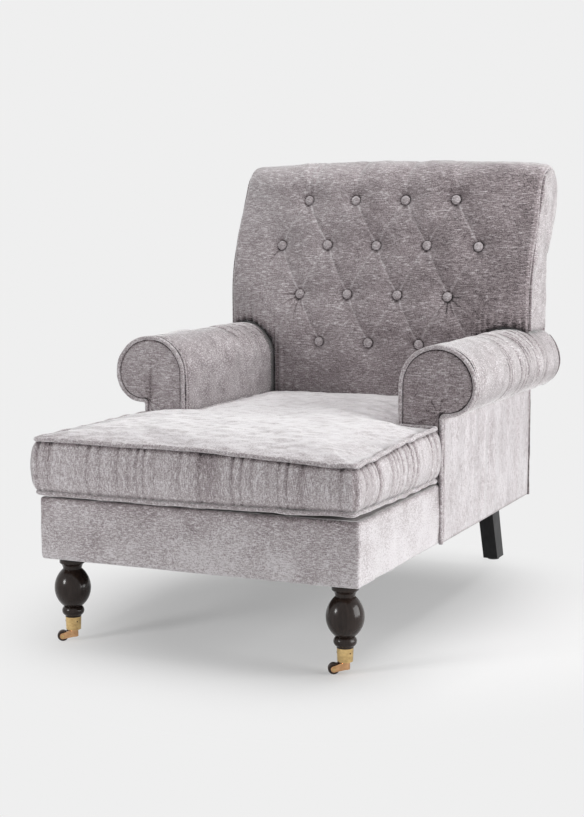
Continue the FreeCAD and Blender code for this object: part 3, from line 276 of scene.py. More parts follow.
# %% Ring builder
def quads(rows, columns, wrap_rows, wrap_columns=True):
    """Corner numbers of the quads between neighbours on a grid of points."""
    number = np.arange(rows * columns).reshape(rows, columns)
    if wrap_rows:
        number = np.vstack([number, number[:1]])
    if wrap_columns:
        number = np.hstack([number, number[:, :1]])
    corners = [number[:-1, :-1], number[:-1, 1:], number[1:, 1:], number[1:, :-1]]
    return np.stack(corners, axis=-1).reshape(-1, 4)


def volume(points, faces):
    """Signed volume of a closed mesh: the sum of the tetrahedra from the middle to each triangle."""
    middle = points.mean(axis=0)
    total = 0.0
    for block in faces:
        for last in range(2, block.shape[1]):
            a, b, c = (points[block[:, k]] - middle for k in (0, last - 1, last))
            total += np.einsum("ij,ij->", a, np.cross(b, c)) / 6
    return total


def mesh_piece(name, points, faces, finish):
    """A smooth object at the origin from points and blocks of faces, with its faces turned outwards."""
    points = np.asarray(points, float)
    if volume(points, faces) < 0:
        faces = [block[:, ::-1] for block in faces]
    corners = np.concatenate([block.ravel() for block in faces]).astype(np.int32)
    sizes = np.concatenate([np.full(len(block), block.shape[1]) for block in faces])
    starts = np.concatenate([[0], np.cumsum(sizes)[:-1]]).astype(np.int32)
    mesh = bpy.data.meshes.new(name)
    mesh.vertices.add(len(points))
    mesh.vertices.foreach_set("co", points.astype(np.float32).ravel())
    mesh.loops.add(len(corners))
    mesh.loops.foreach_set("vertex_index", corners)
    mesh.polygons.add(len(sizes))
    mesh.polygons.foreach_set("loop_start", starts)
    mesh.polygons.foreach_set("use_smooth", np.ones(len(sizes), bool))
    mesh.update(calc_edges=True)
    mesh.validate()
    mesh.materials.append(finish)
    piece = bpy.data.objects.new(name, mesh)
    scene.collection.objects.link(piece)
    return piece


def ring_faces(count, around, closed, caps):
    """Faces of a stack of rings: quads between them and, on an open stack, a fan or strip at each end."""
    faces = [quads(count, around, closed)]
    if closed:
        return faces
    last = (count - 1) * around
    if caps == "fan":
        here = np.arange(around)
        after = np.roll(here, -1)
        pole = np.full(around, count * around)
        faces.append(np.stack([after, here, pole], axis=1))
        faces.append(np.stack([here + last, after + last, pole + 1], axis=1))
    else:
        near = np.arange(around // 2 - 1)
        far = around - 1 - near
        faces.append(np.stack([near + 1, near, far, far - 1], axis=1))
        faces.append(np.stack([near, near + 1, far - 1, far], axis=1) + last)
    return faces


def lofted(name, rings, finish, closed=False, caps="fan"):
    """A piece from rings (count, around, 3). A fan closes a ring at its middle, a strip a folded one."""
    count, around, _ = rings.shape
    points = rings.reshape(-1, 3)
    if not closed and caps == "fan":
        points = np.vstack([points, rings[0].mean(axis=0), rings[-1].mean(axis=0)])
    return mesh_piece(name, points, ring_faces(count, around, closed, caps), finish)


def joined(name, pieces):
    """One object from several new ones, whose meshes are added up."""
    with bpy.context.temp_override(active_object=pieces[0], selected_editable_objects=pieces):
        bpy.ops.object.join()
    pieces[0].name = pieces[0].data.name = name
    return pieces[0]


print("ring builder ready")

# %% [markdown]
# Upholstery is drawn with lines and arcs, then sampled evenly, so that a wrinkle has the same width
# all along a seam. Crush stands for the unevenness of stuffing: a few waves in seeded random directions,
# so that every run gives the same chair.

# %% Outlines and unevenness
SIDES = (("left", -1), ("right", 1))


def unit(vectors):
    """The same vectors with a length of 1."""
    return vectors / np.linalg.norm(vectors, axis=-1, keepdims=True)


def beside(way):
    """Unit normals of a plane line, on its left, from its direction at each point."""
    return unit(np.column_stack([-way[:, 1], way[:, 0]]))


def both_sides(right):
    """A whole outline from its right half: the left half follows, mirrored and in reverse."""
    return np.vstack([right, np.array(right)[::-1] * (-1, 1)])


def circle(count, side, up):
    """Steps of length 1 round a circle in the plane of two directions, or round many such circles."""
    angle = np.linspace(0, 2 * math.pi, count, endpoint=False)[:, None]
    return np.cos(angle) * side[..., None, :] + np.sin(angle) * up[..., None, :]


def arc(centre, radius, start, end, count):
    """Points on an arc between two angles in degrees."""
    angle = np.radians(np.linspace(start, end, count))
    return np.column_stack([centre[0] + radius * np.cos(angle), centre[1] + radius * np.sin(angle)])


def evenly(points, count, closed):
    """The same line with points at equal steps along it."""
    line = np.vstack([points, points[:1]]) if closed else np.asarray(points)
    length = np.concatenate([[0], np.cumsum(np.linalg.norm(np.diff(line, axis=0), axis=1))])
    keep = np.concatenate([[True], np.diff(length) > 1e-9])
    wanted = np.linspace(0, length[-1], count + 1 if closed else count)
    sampled = np.column_stack([np.interp(wanted, length[keep], axis) for axis in line[keep].T])
    return sampled[:-1] if closed else sampled


def rounded(corners, radius, count):
    """A closed outline of straight runs whose corners are arcs of one radius, evenly sampled."""
    corners = np.asarray(corners, float)
    before = unit(np.roll(corners, 1, axis=0) - corners)
    after = unit(np.roll(corners, -1, axis=0) - corners)
    share = np.linspace(0, math.pi / 2, 7)[:, None, None]
    bends = corners + radius * (before * (1 - np.sin(share)) + after * (1 - np.cos(share)))
    return evenly(bends.transpose(1, 0, 2).reshape(-1, 2), count, True)


def outward(loop):
    """Unit normals of a closed plane outline, away from its inside."""
    normal = beside(np.roll(loop, -1, axis=0) - np.roll(loop, 1, axis=0))
    area = np.sum(loop[:, 0] * np.roll(loop[:, 1], -1) - loop[:, 1] * np.roll(loop[:, 0], -1))
    return -normal if area > 0 else normal


def crush(points, wavelength, seed, waves=10):
    """Unevenness round 0, mostly within 1: sine waves of about one length in seeded directions."""
    draw = np.random.default_rng(seed)
    ways = unit(draw.normal(size=(waves, 3)))
    ways *= 2 * math.pi / wavelength * draw.uniform(0.6, 1.6, (waves, 1))
    phase = draw.uniform(0, 2 * math.pi, waves)
    return np.sin(points @ ways.T + phase).sum(axis=-1) / math.sqrt(waves)


def ease(value, low, high):
    """0 below low, 1 above high, and an S-curve between them."""
    share = np.clip((value - low) / (high - low), 0, 1)
    return share * share * (3 - 2 * share)


def fitful(run, low, waves, phase=0.0):
    """A size that comes and goes along a run, between a low share and 1."""
    return low + (1 - low) * np.sin(run * waves + phase) ** 2


def stacked(a, b, c):
    """Points whose three coordinates are given apart, as numbers or arrays."""
    return np.stack(np.broadcast_arrays(a, b, c), axis=-1)


def crush_flat(a, b, wavelength, seed):
    """The unevenness of a panel from the two coordinates in its plane."""
    return crush(stacked(a, b, 0 * a), wavelength, seed)


def pinch(away, width):
    """A fold with a sharp bottom: 1 in it, and fading over a width."""
    return np.exp(-away / width)


def dent(away, width):
    """A fold with a round bottom: 1 in it, and fading over a width."""
    return np.exp(-(away / width) ** 2)


def spot(x, y, centre, spread):
    """A round patch: 1 at its centre, and fading over its spread."""
    return np.exp(-((x - centre[0]) ** 2 + (y - centre[1]) ** 2) / (2 * spread ** 2))


def upholstered(piece, body, slot, *replaced, fill=0.7):
    """Says what a padded piece rides on and which CAD nodes it stands for; slot is not used."""
    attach(piece, body)
    if replaced:
        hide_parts(*replaced)
    return piece


print("outline helpers ready")

# %% [markdown]
# The seat cushion is one long T: wide in front of the arms and narrow between them.
# It is a boxed cushion, with a top and a bottom panel joined by an upright strip and piping in both seams.
# The stuffing is what gives it life, so the plain boxed form is remeshed, blown up as cloth, and only
# then creased at its seams: remeshing would remove a seam that is narrower than its grid.

# %% Seat cushion, plain form
WIDE, NARROW = 0.341, 0.243
CUSHION_FRONT, EAR, CUSHION_REAR = -0.6015, -0.1445, 0.3105
LOW_SEAM, HIGH_SEAM = 0.3095, 0.4175
CUSHION_CORNER, PIPING = 0.011, 0.0046
CUSHION_MIDDLE = np.array([0.0, -0.25])
CUSHION_FLOOR = float(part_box("seat_cushion")[0][2])
t_right = [(WIDE, CUSHION_FRONT), (WIDE, EAR), (NARROW, EAR), (NARROW, CUSHION_REAR)]
t_corners = both_sides(t_right)
t_outline = rounded(t_corners, CUSHION_CORNER, 520)
# Inset of a ring from the piping, share of the way out from the middle, height
boxed = np.array([
    (0.024, 0.02, CUSHION_FLOOR), (0.024, 0.5, CUSHION_FLOOR), (0.024, 0.92, CUSHION_FLOOR),
    (0.022, 1.0, CUSHION_FLOOR + 0.001), (0.002, 1.0, LOW_SEAM), (-0.002, 1.0, LOW_SEAM + 0.02),
    (-0.003, 1.0, (LOW_SEAM + HIGH_SEAM) / 2), (-0.002, 1.0, HIGH_SEAM - 0.02), (0.002, 1.0, HIGH_SEAM),
    (0.008, 1.0, HIGH_SEAM + 0.004), (0.010, 0.95, HIGH_SEAM + 0.009), (0.010, 0.85, HIGH_SEAM + 0.014),
    (0.010, 0.65, HIGH_SEAM + 0.017), (0.010, 0.30, HIGH_SEAM + 0.018), (0.010, 0.02, HIGH_SEAM + 0.018),
])
inset, share, height = (column[:, None] for column in boxed.T)
plan = t_outline[None] - inset[..., None] * outward(t_outline)[None]
plan = CUSHION_MIDDLE + (plan - CUSHION_MIDDLE) * share[..., None]
rings = np.dstack([plan, np.broadcast_to(height, plan.shape[:2])])
cushion = lofted("seat_cushion_cover", rings, cover_seat)
print("plain cushion:", len(cushion.data.polygons), "faces")

# %% [markdown]
# Cloth with pressure blows the cushion up like a filled cover. Gravity is off, the seams are pinned
# where the piping holds them, and how far a point may move is capped, so that the cushion keeps its size.

# %% Seat cushion, stuffed by simulation
VOXEL, PRESSURE, LAST_FRAME = 0.006, 4.0, 20
SEAM_GRIP, FLOOR_GRIP = 0.005, 0.004
LEAST_SWELL, SWELL_SHARE, SWELL_REACH = 0.002, 0.25, 0.04


def points_of(mesh, what="co"):
    """A mesh's points, or their normals, as an array."""
    flat = np.empty(len(mesh.vertices) * 3, np.float32)
    mesh.vertices.foreach_get(what, flat)
    return flat.reshape(-1, 3).astype(float)


def put_points(mesh, points):
    """Moves a mesh's points to new places."""
    mesh.vertices.foreach_set("co", points.astype(np.float32).ravel())
    mesh.update()


def settled(piece):
    """Replaces a piece's mesh by the mesh that its modifiers give, and removes them."""
    made = bpy.data.meshes.new_from_object(piece.evaluated_get(bpy.context.evaluated_depsgraph_get()))
    piece.modifiers.clear()
    piece.data = made
    made.polygons.foreach_set("use_smooth", np.ones(len(made.polygons), bool))
    return piece


def remeshed(piece, voxel):
    """Gives a piece an even grid of faces."""
    grid = piece.modifiers.new("grid", "REMESH")
    grid.mode, grid.voxel_size, grid.use_smooth_shade = "VOXEL", voxel, True
    return settled(piece)


def stuffed(piece, pinned, cap):
    """Blows a closed piece up with cloth pressure; a point moves by its cap at most."""
    start = points_of(piece.data)
    seam = piece.vertex_groups.new(name="seam")
    seam.add(np.flatnonzero(pinned).tolist(), 1.0, "REPLACE")
    cloth = piece.modifiers.new("stuffing", "CLOTH")
    cloth.settings.quality = 3
    cloth.settings.use_pressure = True
    cloth.settings.uniform_pressure_force = PRESSURE
    cloth.settings.effector_weights.gravity = 0.0
    cloth.settings.vertex_group_mass = "seam"
    cloth.point_cache.frame_end = LAST_FRAME
    for number in range(1, LAST_FRAME + 1):
        scene.frame_set(number)
    settled(piece)
    piece.vertex_groups.clear()
    scene.frame_set(1)
    move = points_of(piece.data) - start
    far = np.linalg.norm(move, axis=1, keepdims=True)
    put_points(piece.data, start + move * np.minimum(1, cap[:, None] / np.maximum(far, 1e-9)))
    print("stuffing moved", piece.name, "by", round(float(far.mean() * 1000), 1), "mm on average")


remeshed(cushion, VOXEL)
points = points_of(cushion.data)
to_seam = np.minimum(np.abs(points[:, 2] - LOW_SEAM), np.abs(points[:, 2] - HIGH_SEAM))
flat_floor = points[:, 2] < CUSHION_FLOOR + FLOOR_GRIP
at_rim = np.abs(points_of(cushion.data, "normal")[:, 2]) < 0.8
pinned = ((to_seam < SEAM_GRIP) & at_rim) | flat_floor
swell = LEAST_SWELL + SWELL_SHARE * np.minimum(to_seam, SWELL_REACH)
stuffed(cushion, pinned, np.where(flat_floor, 0.0, swell))

# %% [markdown]
# Now the needlework. The piping draws the cloth in along both seams, and the boxing strip is a little
# too long for them, so it puckers: short upright folds, deepest at the seam. On top the pile is crushed
# into soft hollows, and each front corner shows an upright seam of the strip.

# %% Seat cushion, seams and puckers
smoother = cushion.modifiers.new("finer", "SUBSURF")
smoother.levels = smoother.render_levels = 1
settled(cushion)
points, normals = points_of(cushion.data), points_of(cushion.data, "normal")
x, y, z = points.T
to_low, to_high = np.abs(z - LOW_SEAM), np.abs(z - HIGH_SEAM)
upright = 1 - ease(np.abs(normals[:, 2]), 0.35, 0.8)
run = np.where(np.abs(normals[:, 1]) > np.abs(normals[:, 0]), x, y)


def pleats(run, spacing, wander):
    """Irregular folds along a run: rounded between, with a sharp valley at each fold; 0 down to -1."""
    phase = run / spacing * math.pi + wander * np.sin(run * 23 + wander) + 0.8 * np.sin(run * 61)
    return np.abs(np.sin(phase)) ** 0.5 - 1


def to_outline(x, y):
    """Distance in plan from each point to the nearest straight run of the T."""
    nearest = np.full(len(x), np.inf)
    for start, end in zip(t_corners, np.roll(t_corners, -1, axis=0)):
        length = np.linalg.norm(end - start)
        way = (end - start) / length
        along = np.clip((x - start[0]) * way[0] + (y - start[1]) * way[1], 0, length)
        gap = np.hypot(x - start[0] - along * way[0], y - start[1] - along * way[1])
        nearest = np.minimum(nearest, gap)
    return nearest


SHORT_PLEAT, LONG_PLEAT, SHORT_DEPTH, LONG_DEPTH = 0.0215, 0.034, 0.0030, 0.0042
SIDE_PULL, FRONT_PULL, SIDE_FALL, FRONT_FALL = 1.7, 1.4, 0.2, 0.09
HIGH_REACH, LOW_REACH, LOW_SHARE = 0.030, 0.018, 0.8
BULGE, GROOVE, GROOVE_WIDTH, STITCH_DEPTH, STITCH_WIDTH = 0.0090, 0.0036, 0.008, 0.0015, 0.0025
EAR_PLACE, EAR_DENT, EAR_SPREAD = (0.29, EAR), 0.010, 0.045
SHADE_PLACE, SHADE_SPREAD = (-0.25, CUSHION_FRONT), 0.12
CORNER_LIFT, CORNER_SINK, CORNER_SPREAD = 0.006, 0.020, 0.15
SEAM_EDGE, SEAM_WIDTH = 0.006, 0.004
# Painted light and shade: how much lighter the top and the walls are drawn,
# and how much darker the pleats, the seams beside the piping, the corner stitches and a patch near the
# front
TOP_LIGHT, WALL_LIGHT, SHORT_DARK, LONG_DARK = 0.18, 0.08, 0.30, 0.29
SEAM_DARK, STITCH_DARK, SHADE_DARK = 0.32, 0.3, 0.07
short_pleats = pleats(run, SHORT_PLEAT, 1.9) * fitful(run, 0.3, 29, 1.3)
long_pleats = pleats(run, LONG_PLEAT, 2.6) * fitful(run, 0.45, 17, 0.6)
on_side = np.abs(normals[:, 0]) > 0.7
side_wall = np.where(on_side, SIDE_PULL, FRONT_PULL)
near_seam = pinch(to_high, HIGH_REACH) + LOW_SHARE * pinch(to_low, LOW_REACH)
fall = pinch(to_high, np.where(on_side, SIDE_FALL, FRONT_FALL))
pucker = (short_pleats * near_seam * SHORT_DEPTH + long_pleats * LONG_DEPTH * fall) * side_wall
bulge = BULGE * np.sin(math.pi * np.clip((z - LOW_SEAM) / (HIGH_SEAM - LOW_SEAM), 0, 1)) ** 0.6
plan_gap = to_outline(x, y)
from_high, from_low = np.hypot(plan_gap, z - HIGH_SEAM), np.hypot(plan_gap, z - LOW_SEAM)
groove = GROOVE * (dent(from_high, GROOVE_WIDTH) + dent(from_low, GROOVE_WIDTH))
from_corner = np.abs((WIDE - np.abs(x)) - (y - CUSHION_FRONT)) / math.sqrt(2)
corner_seam = dent(from_corner, STITCH_WIDTH) * (plan_gap < 0.03)
hollows = np.minimum(crush(points, 0.11, 5), 0.6) * 0.0022 + crush(points, 0.035, 6) * 0.0007
hollows -= EAR_DENT * spot(np.abs(x), y, EAR_PLACE, EAR_SPREAD)
on_top = ease(normals[:, 2], 0.5, 0.9)
move = upright * (pucker + bulge - STITCH_DEPTH * corner_seam) - groove + on_top * hollows
# Painted shade beside both pipings, in pleat valleys and at corner stitches; painted light on the top and
# walls.
seam_shade = dent(from_high - SEAM_EDGE, SEAM_WIDTH) + dent(from_low - SEAM_EDGE, SEAM_WIDTH)
creased = short_pleats * near_seam * SHORT_DARK + long_pleats * fall * LONG_DARK
on_wall = creased * side_wall + WALL_LIGHT - STITCH_DARK * corner_seam
painted_shading = TOP_LIGHT * on_top + upright * on_wall - SEAM_DARK * seam_shade
painted_shading -= SHADE_DARK * on_top * spot(x, y, SHADE_PLACE, SHADE_SPREAD)
points += normals * move[:, None]


def slump(points):
    """The near corner of the cushion is a little flatter: it sinks on top and lifts below."""
    near = spot(points[:, 0], points[:, 1], (WIDE, CUSHION_FRONT), CORNER_SPREAD)
    lower = near * (CORNER_LIFT - CORNER_SINK * ease(points[:, 2], LOW_SEAM, HIGH_SEAM))
    return points + np.column_stack([0 * lower, 0 * lower, lower])


points[:, 2] = np.maximum(points[:, 2], CUSHION_FLOOR)
points = slump(points)
put_points(cushion.data, points)
set_point_values(cushion, painted_shading)
set_point_values(cushion, upright, "turned")
upholstered(cushion, "loose_cushion", "cover", "seat_cushion", fill=0.75)
print("seat cushion:", len(cushion.data.polygons), "faces, top at", round(float(points[:, 2].max()), 4))

# %% [markdown]
# Piping is a cord wrapped in the same cloth. A circle carried along the seam makes it, and because it is
# sewn by hand it wanders a little, up and down and in thickness.

# %% Piping
PIPING_SIDES, WANDER_LENGTH, THICK_SHARE, THICK_LENGTH = 14, 0.07, 0.05, 0.03


def piping(name, path, finish, closed, wander, seed, radius=PIPING):
    """A tube: circles of a slightly uneven radius, square to a path that wanders a little."""
    path = path + wander * np.stack([crush(path, WANDER_LENGTH, seed + k) for k in range(3)], axis=-1)
    if closed:
        along = unit(np.roll(path, -1, axis=0) - np.roll(path, 1, axis=0))
    else:
        along = unit(np.gradient(path, axis=0))
    flat = np.linalg.svd(path - path.mean(axis=0), full_matrices=False)[2][2]
    side = unit(np.cross(along, flat))
    thick = radius * (1 + THICK_SHARE * crush(path, THICK_LENGTH, seed + 3))
    rings = path[:, None] + thick[:, None, None] * circle(PIPING_SIDES, side, np.cross(side, along))
    return lofted(name, rings, finish, closed=closed)


# The piping is drawn a little lighter, as painted light on the raised cord; the rear piping much darker,
# as painted shade beside the back.
piping_cloth = chenille("cover_piping", (200.0, 200.0, 300.0), (30.0, 30.0, 30.0), 0.3, 0.06)
shaded_rear_cloth = chenille("cover_rear_piping_shaded", (200.0, 200.0, 300.0), (30.0, 30.0, 30.0), 0.3, -0.40)
tucked = evenly(t_outline - 0.002 * outward(t_outline), 640, True)
for label, level in (("top", HIGH_SEAM), ("bottom", LOW_SEAM)):
    path = slump(stacked(tucked[:, 0], tucked[:, 1], level))
    cord = piping(f"seat_{label}_piping", path, piping_cloth, True, 0.0010, 11)
    upholstered(cord, "loose_cushion", "piping", f"seat_cushion_{label}_welt", fill=1.0)
print("two pipings round the seat cushion")

# %% [markdown]
# The back is the piece that everyone looks at. It stands upright behind the seat, leans, rolls over in
# a scroll, and is drawn in by sixteen buttons with folds from each button to its neighbours.
# Its plain form is a cross-section that changes over the width: it is fuller in the middle.
# Every measure of the section is worked out for all columns of the grid at once.

# %% Back, plain form
BACK_FRONT, BACK_CROWN, CROWN_POWER = 0.3175, 0.052, 3.3
MID_BEND, EDGE_BEND, BEND_RADIUS = 0.560, 0.720, 0.300
MID_SCROLL, EDGE_SCROLL, SCROLL_REAR = 0.103, 0.074, 0.6055
MID_TOP, EDGE_TOP = 0.977, 0.967
PANEL_CORNER = (0.5165, 0.7553)
GUSSET_INNER, BACK_SIDE, SIDE_ROUND = 0.370, 0.384, 0.013
ARM_INNER, ROLL_X, ROLL_Z, ROLL_RADIUS = 0.250, 0.335, 0.502, 0.085
SOFT_FLOOR, SOFT_GAP, SQUEEZE = 0.2993, 0.0003, 0.05


def tangent(y, z, centre_y, centre_z, radius, side):
    """Angle from upright of the line from a point that touches a circle on one side."""
    dy, dz = centre_y - y, centre_z - z
    return np.arctan2(dy, dz) + side * np.arcsin(radius / np.hypot(dy, dz))


def back_floor(x):
    """Where a column of the back starts: on the deck between the arms, on the roll beside them."""
    reach = ROLL_RADIUS + SOFT_GAP
    over = ROLL_Z + np.sqrt(np.maximum(reach ** 2 - (np.abs(x) - ROLL_X) ** 2, 0))
    return np.where(np.abs(x) < ARM_INNER - SOFT_GAP, SOFT_FLOOR, over)


def back_section(x, share, floor):
    """Points (x, y, z) at a share of the way up the face, over the scroll and down to the panel behind.

    A column that starts on a roll squeezes its lowest rows into a short stretch above it, so that all
    higher rows line up across the back.
    """
    x, share, floor = np.broadcast_arrays(x, share, floor)
    edge = (np.abs(x) / GUSSET_INNER) ** CROWN_POWER
    face = BACK_FRONT + BACK_CROWN * edge
    bend = MID_BEND + (EDGE_BEND - MID_BEND) * edge
    radius = MID_SCROLL + (EDGE_SCROLL - MID_SCROLL) * edge
    cy = SCROLL_REAR - radius
    cz = MID_TOP + (EDGE_TOP - MID_TOP) * edge - radius
    lean = tangent(face, bend, cy, cz, radius, -1)
    leave = math.pi + tangent(*PANEL_CORNER, cy, cz, radius, 1)
    reach = BEND_RADIUS * np.tan(lean / 2)
    y1, z1 = face + reach * np.sin(lean), bend + reach * np.cos(lean)
    y2, z2 = cy - radius * np.cos(lean), cz + radius * np.sin(lean)
    y3, z3 = cy - radius * np.cos(leave), cz + radius * np.sin(leave)
    lengths = [bend - reach - SOFT_FLOOR, BEND_RADIUS * lean, np.hypot(y2 - y1, z2 - z1),
               radius * (leave - lean), np.hypot(PANEL_CORNER[0] - y3, PANEL_CORNER[1] - z3)]
    ends = np.cumsum(lengths, axis=0)
    go = share * ends[-1]
    raised = floor - SOFT_FLOOR
    go = np.where(go < raised + SQUEEZE, raised + go * SQUEEZE / (raised + SQUEEZE), go)
    turn = (go - ends[0]) / BEND_RADIUS
    up = (go - ends[1]) / lengths[2]
    over = lean + (go - ends[2]) / radius
    down = (go - ends[3]) / lengths[4]
    part = [go < ends[0], go < ends[1], go < ends[2], go < ends[3]]
    ys = [face, face + BEND_RADIUS * (1 - np.cos(turn)), y1 + up * (y2 - y1), cy - radius * np.cos(over)]
    zs = [SOFT_FLOOR + go, bend - reach + BEND_RADIUS * np.sin(turn), z1 + up * (z2 - z1),
          cz + radius * np.sin(over)]
    y = np.select(part, ys, y3 + down * (PANEL_CORNER[0] - y3))
    z = np.select(part, zs, z3 + down * (PANEL_CORNER[1] - z3))
    return np.stack([x, y, z], axis=-1)


flat_columns = np.linspace(-1, 1, 291) * (BACK_SIDE - SIDE_ROUND)
round_columns = BACK_SIDE - SIDE_ROUND * (1 - np.sin(np.linspace(0, math.pi / 2, 10)[1:]))
columns = np.concatenate([-round_columns[::-1], flat_columns, round_columns])
COLUMNS = len(columns)
FOOT_ROWS, FACE_ROWS, SCROLL_ROWS = 10, 245, 60
rows = np.concatenate([np.linspace(0, 0.09, FOOT_ROWS), np.linspace(0.0925, 0.66, FACE_ROWS),
                       np.linspace(0.665, 1, SCROLL_ROWS)])
plain_back = back_section(columns[:, None], rows[None], back_floor(columns)[:, None])
print("back:", plain_back.shape[:2], "points, top at", round(float(plain_back[..., 2].max()), 4))

# %% [markdown]
# A button pulls the cloth down to a point, and the spare cloth between two buttons folds into a crease.
# Both are distances on the face: to the nearest button, and to the line between two buttons.
# A crease is a narrow valley with a sharp bottom inside a wide soft one, so that its pile catches light.
# Folds run on from the top row over the scroll, two lines of stitches follow each rounded edge, and the
# cloth rucks up where it is tucked in beside the arms.

# %% Back, buttons and folds
PITCH = 0.127
ROW_HEIGHTS, ROW_COUNTS = (0.886, 0.778, 0.661, 0.546), (4, 5, 4, 3)
button_rows = [[((k - (n - 1) / 2) * PITCH, h) for k in range(n)] for n, h in zip(ROW_COUNTS, ROW_HEIGHTS)]
buttons = np.array(sum(button_rows, []))
lowest = [(-2 * PITCH, ROW_HEIGHTS[3])] + button_rows[3] + [(2 * PITCH, ROW_HEIGHTS[3])]
FULL, FAINT, PLEATED = 1.0, 0.45, 1.3
# How far the short pleats round an outer button of the third row reach outwards and down
SHORT_PLEATS = ((0.046, 0.034), (0.026, 0.056), (0.004, 0.066), (-0.022, 0.050), (0.05, 0.004))
creases = []
for upper, lower in zip(button_rows, button_rows[1:3] + [lowest]):
    creases += [(a, b, FULL) for a in upper for b in lower if abs(a[0] - b[0]) < 0.6 * PITCH]
for side in (-1, 1):
    outer = (side * 2 * PITCH, ROW_HEIGHTS[1])
    creases.append((outer, (side * 0.372, ROW_HEIGHTS[1] - 0.004), FAINT))
    third = (side * 1.5 * PITCH, ROW_HEIGHTS[2])
    for spread, fall in SHORT_PLEATS:
        creases.append((third, (third[0] + side * spread, third[1] - fall), PLEATED))
creases.append(((-2 * PITCH, ROW_HEIGHTS[1]), (-2 * PITCH - 0.03, ROW_HEIGHTS[1] - 0.052), PLEATED))


def to_line(x, z, start, end):
    """Distance from each point to a stretch of line, and the share of the way along it."""
    (x0, z0), (x1, z1) = start, end
    dx, dz = x1 - x0, z1 - z0
    along = np.clip(((x - x0) * dx + (z - z0) * dz) / (dx * dx + dz * dz), 0, 1)
    return np.hypot(x - x0 - along * dx, z - z0 - along * dz), along


BUTTON_HOLLOW, BUTTON_FLAT, BUTTON_SPREAD = 0.0175, 0.010, 0.022
RING_REACH, RING_WIDTH, LINE_WIDTH = 0.0117, 0.0026, 0.0019
# Depth and width of the sharp and the soft part of a crease, and of a fold over the scroll
CREASE_SHARP, CREASE_SOFT = (0.0036, 0.0032), (0.0055, 0.019)
FOLD_SHARP, FOLD_SOFT = (0.0036, 0.0045), (0.0034, 0.02)


def valley(away, sharp, soft):
    """A narrow fold with a sharp bottom inside a wide soft one."""
    return sharp[0] * pinch(away, sharp[1]) + soft[0] * dent(away, soft[1])


def button_pull(x, z):
    """Depth of the hollows, full under a button and rising away from it, and the ring of painted shade
    round it.
    """
    away = np.hypot(x[..., None] - buttons[:, 0], z[..., None] - buttons[:, 1]).min(axis=-1)
    hollow = BUTTON_HOLLOW * pinch(np.maximum(away - BUTTON_FLAT, 0), BUTTON_SPREAD)
    return hollow, dent(away - RING_REACH, RING_WIDTH)


def crease_pull(x, z):
    """Depth of the creases, where the deepest counts, and the painted light and shade in them.

    A painted highlight makes a thin light line between two buttons, and painted shade darkens a short
    pleat.
    """
    depth, light, dark = np.zeros_like(x), np.zeros_like(x), np.zeros_like(x)
    for start, end, strength in creases:
        away, along = to_line(x, z, start, end)
        middle = 1 - 0.35 * np.sin(math.pi * along) ** 2
        fade = 1.0 if strength == FULL else 1 - along ** 2
        crease = valley(away, CREASE_SHARP, CREASE_SOFT)
        depth = np.maximum(depth, crease * strength * middle * fade)
        line = dent(away, LINE_WIDTH) * fade
        if strength == PLEATED:
            dark = np.maximum(dark, line)
        else:
            light = np.maximum(light, line * strength * (0.45 + 0.55 * np.cos(math.pi * along) ** 2))
    return depth, light, dark


SCROLL_AXIS, FOLD_END, TWIN_GAP, TWIN_LEAN, FOLD_LINE = 0.5025, 0.54, 0.016, 0.05, 0.0020
RUCK_STEP, RUCK_REACH, RUCK_DEPTH, TUCK_REACH, TUCK_DEPTH = 0.0155, 0.028, 0.0036, 0.006, 0.006
# Place and width of the two lines of stitches on the rounded edge, and their depth
STITCHES, EDGE_STITCH = ((0.0115, 0.0011), (0.0055, 0.0013)), 0.0008
# Painted light and shade: highlights along the creases and folds, shade in the pleats, round the buttons,
# in rucks, where it tucks in beside the arms and towards the right; the stitches are drawn lighter too
CREASE_HIGHLIGHT, FOLD_LIGHT, EDGE_LIGHT, ACROSS_SHADE = 0.30, 0.3, 0.12, 0.14
PLEAT_DARK, RING_DARK, RUCK_DARK, TUCK_DARK = 0.42, 0.26, 0.24, 0.60
x, y, z = np.moveaxis(plain_back, -1, 0)
ahead = ease(-(y - SCROLL_AXIS), 0.0, 0.03)
button_depth, button_ring = button_pull(x, z)
crease_depth, highlight_lines, pleated = crease_pull(x, z)
pull = np.maximum(button_depth, crease_depth) * ahead
highlight_lines *= ahead
for bx, bz in button_rows[0]:
    for shift in (0.0, TWIN_GAP) if bx < -PITCH else (0.0,):
        off = np.abs(x - (bx + shift + TWIN_LEAN * shift * (z - bz)))
        reach = ease(z, bz, bz + 0.02) * ease(-(y - FOLD_END), 0, 0.08)
        pull = np.maximum(pull, valley(off, FOLD_SHARP, FOLD_SOFT) * reach)
        highlight_lines = np.maximum(highlight_lines, dent(off, FOLD_LINE) * reach * FOLD_LIGHT)
past = np.clip(np.abs(x) - (BACK_SIDE - SIDE_ROUND), 0, SIDE_ROUND)
pull += SIDE_ROUND - np.sqrt(SIDE_ROUND ** 2 - past ** 2)
stitch = sum(dent(past - place, width) for place, width in STITCHES)
pull += EDGE_STITCH * stitch
above_roll = np.hypot(np.abs(x) - ROLL_X, z - ROLL_Z) - ROLL_RADIUS
to_roll = np.maximum(np.where(z < ROLL_Z, ARM_INNER - np.abs(x), above_roll), 0)
tucked_in = pinch(to_roll, TUCK_REACH)
ruck_wave = np.sin(x / RUCK_STEP * 2 * math.pi + 2.9 * np.sin(x * 47))
ruck = ruck_wave * pinch(to_roll, RUCK_REACH) * fitful(x, 0.35, 37, 0.8)
pull += RUCK_DEPTH * np.maximum(ruck, -0.3) + TUCK_DEPTH * tucked_in
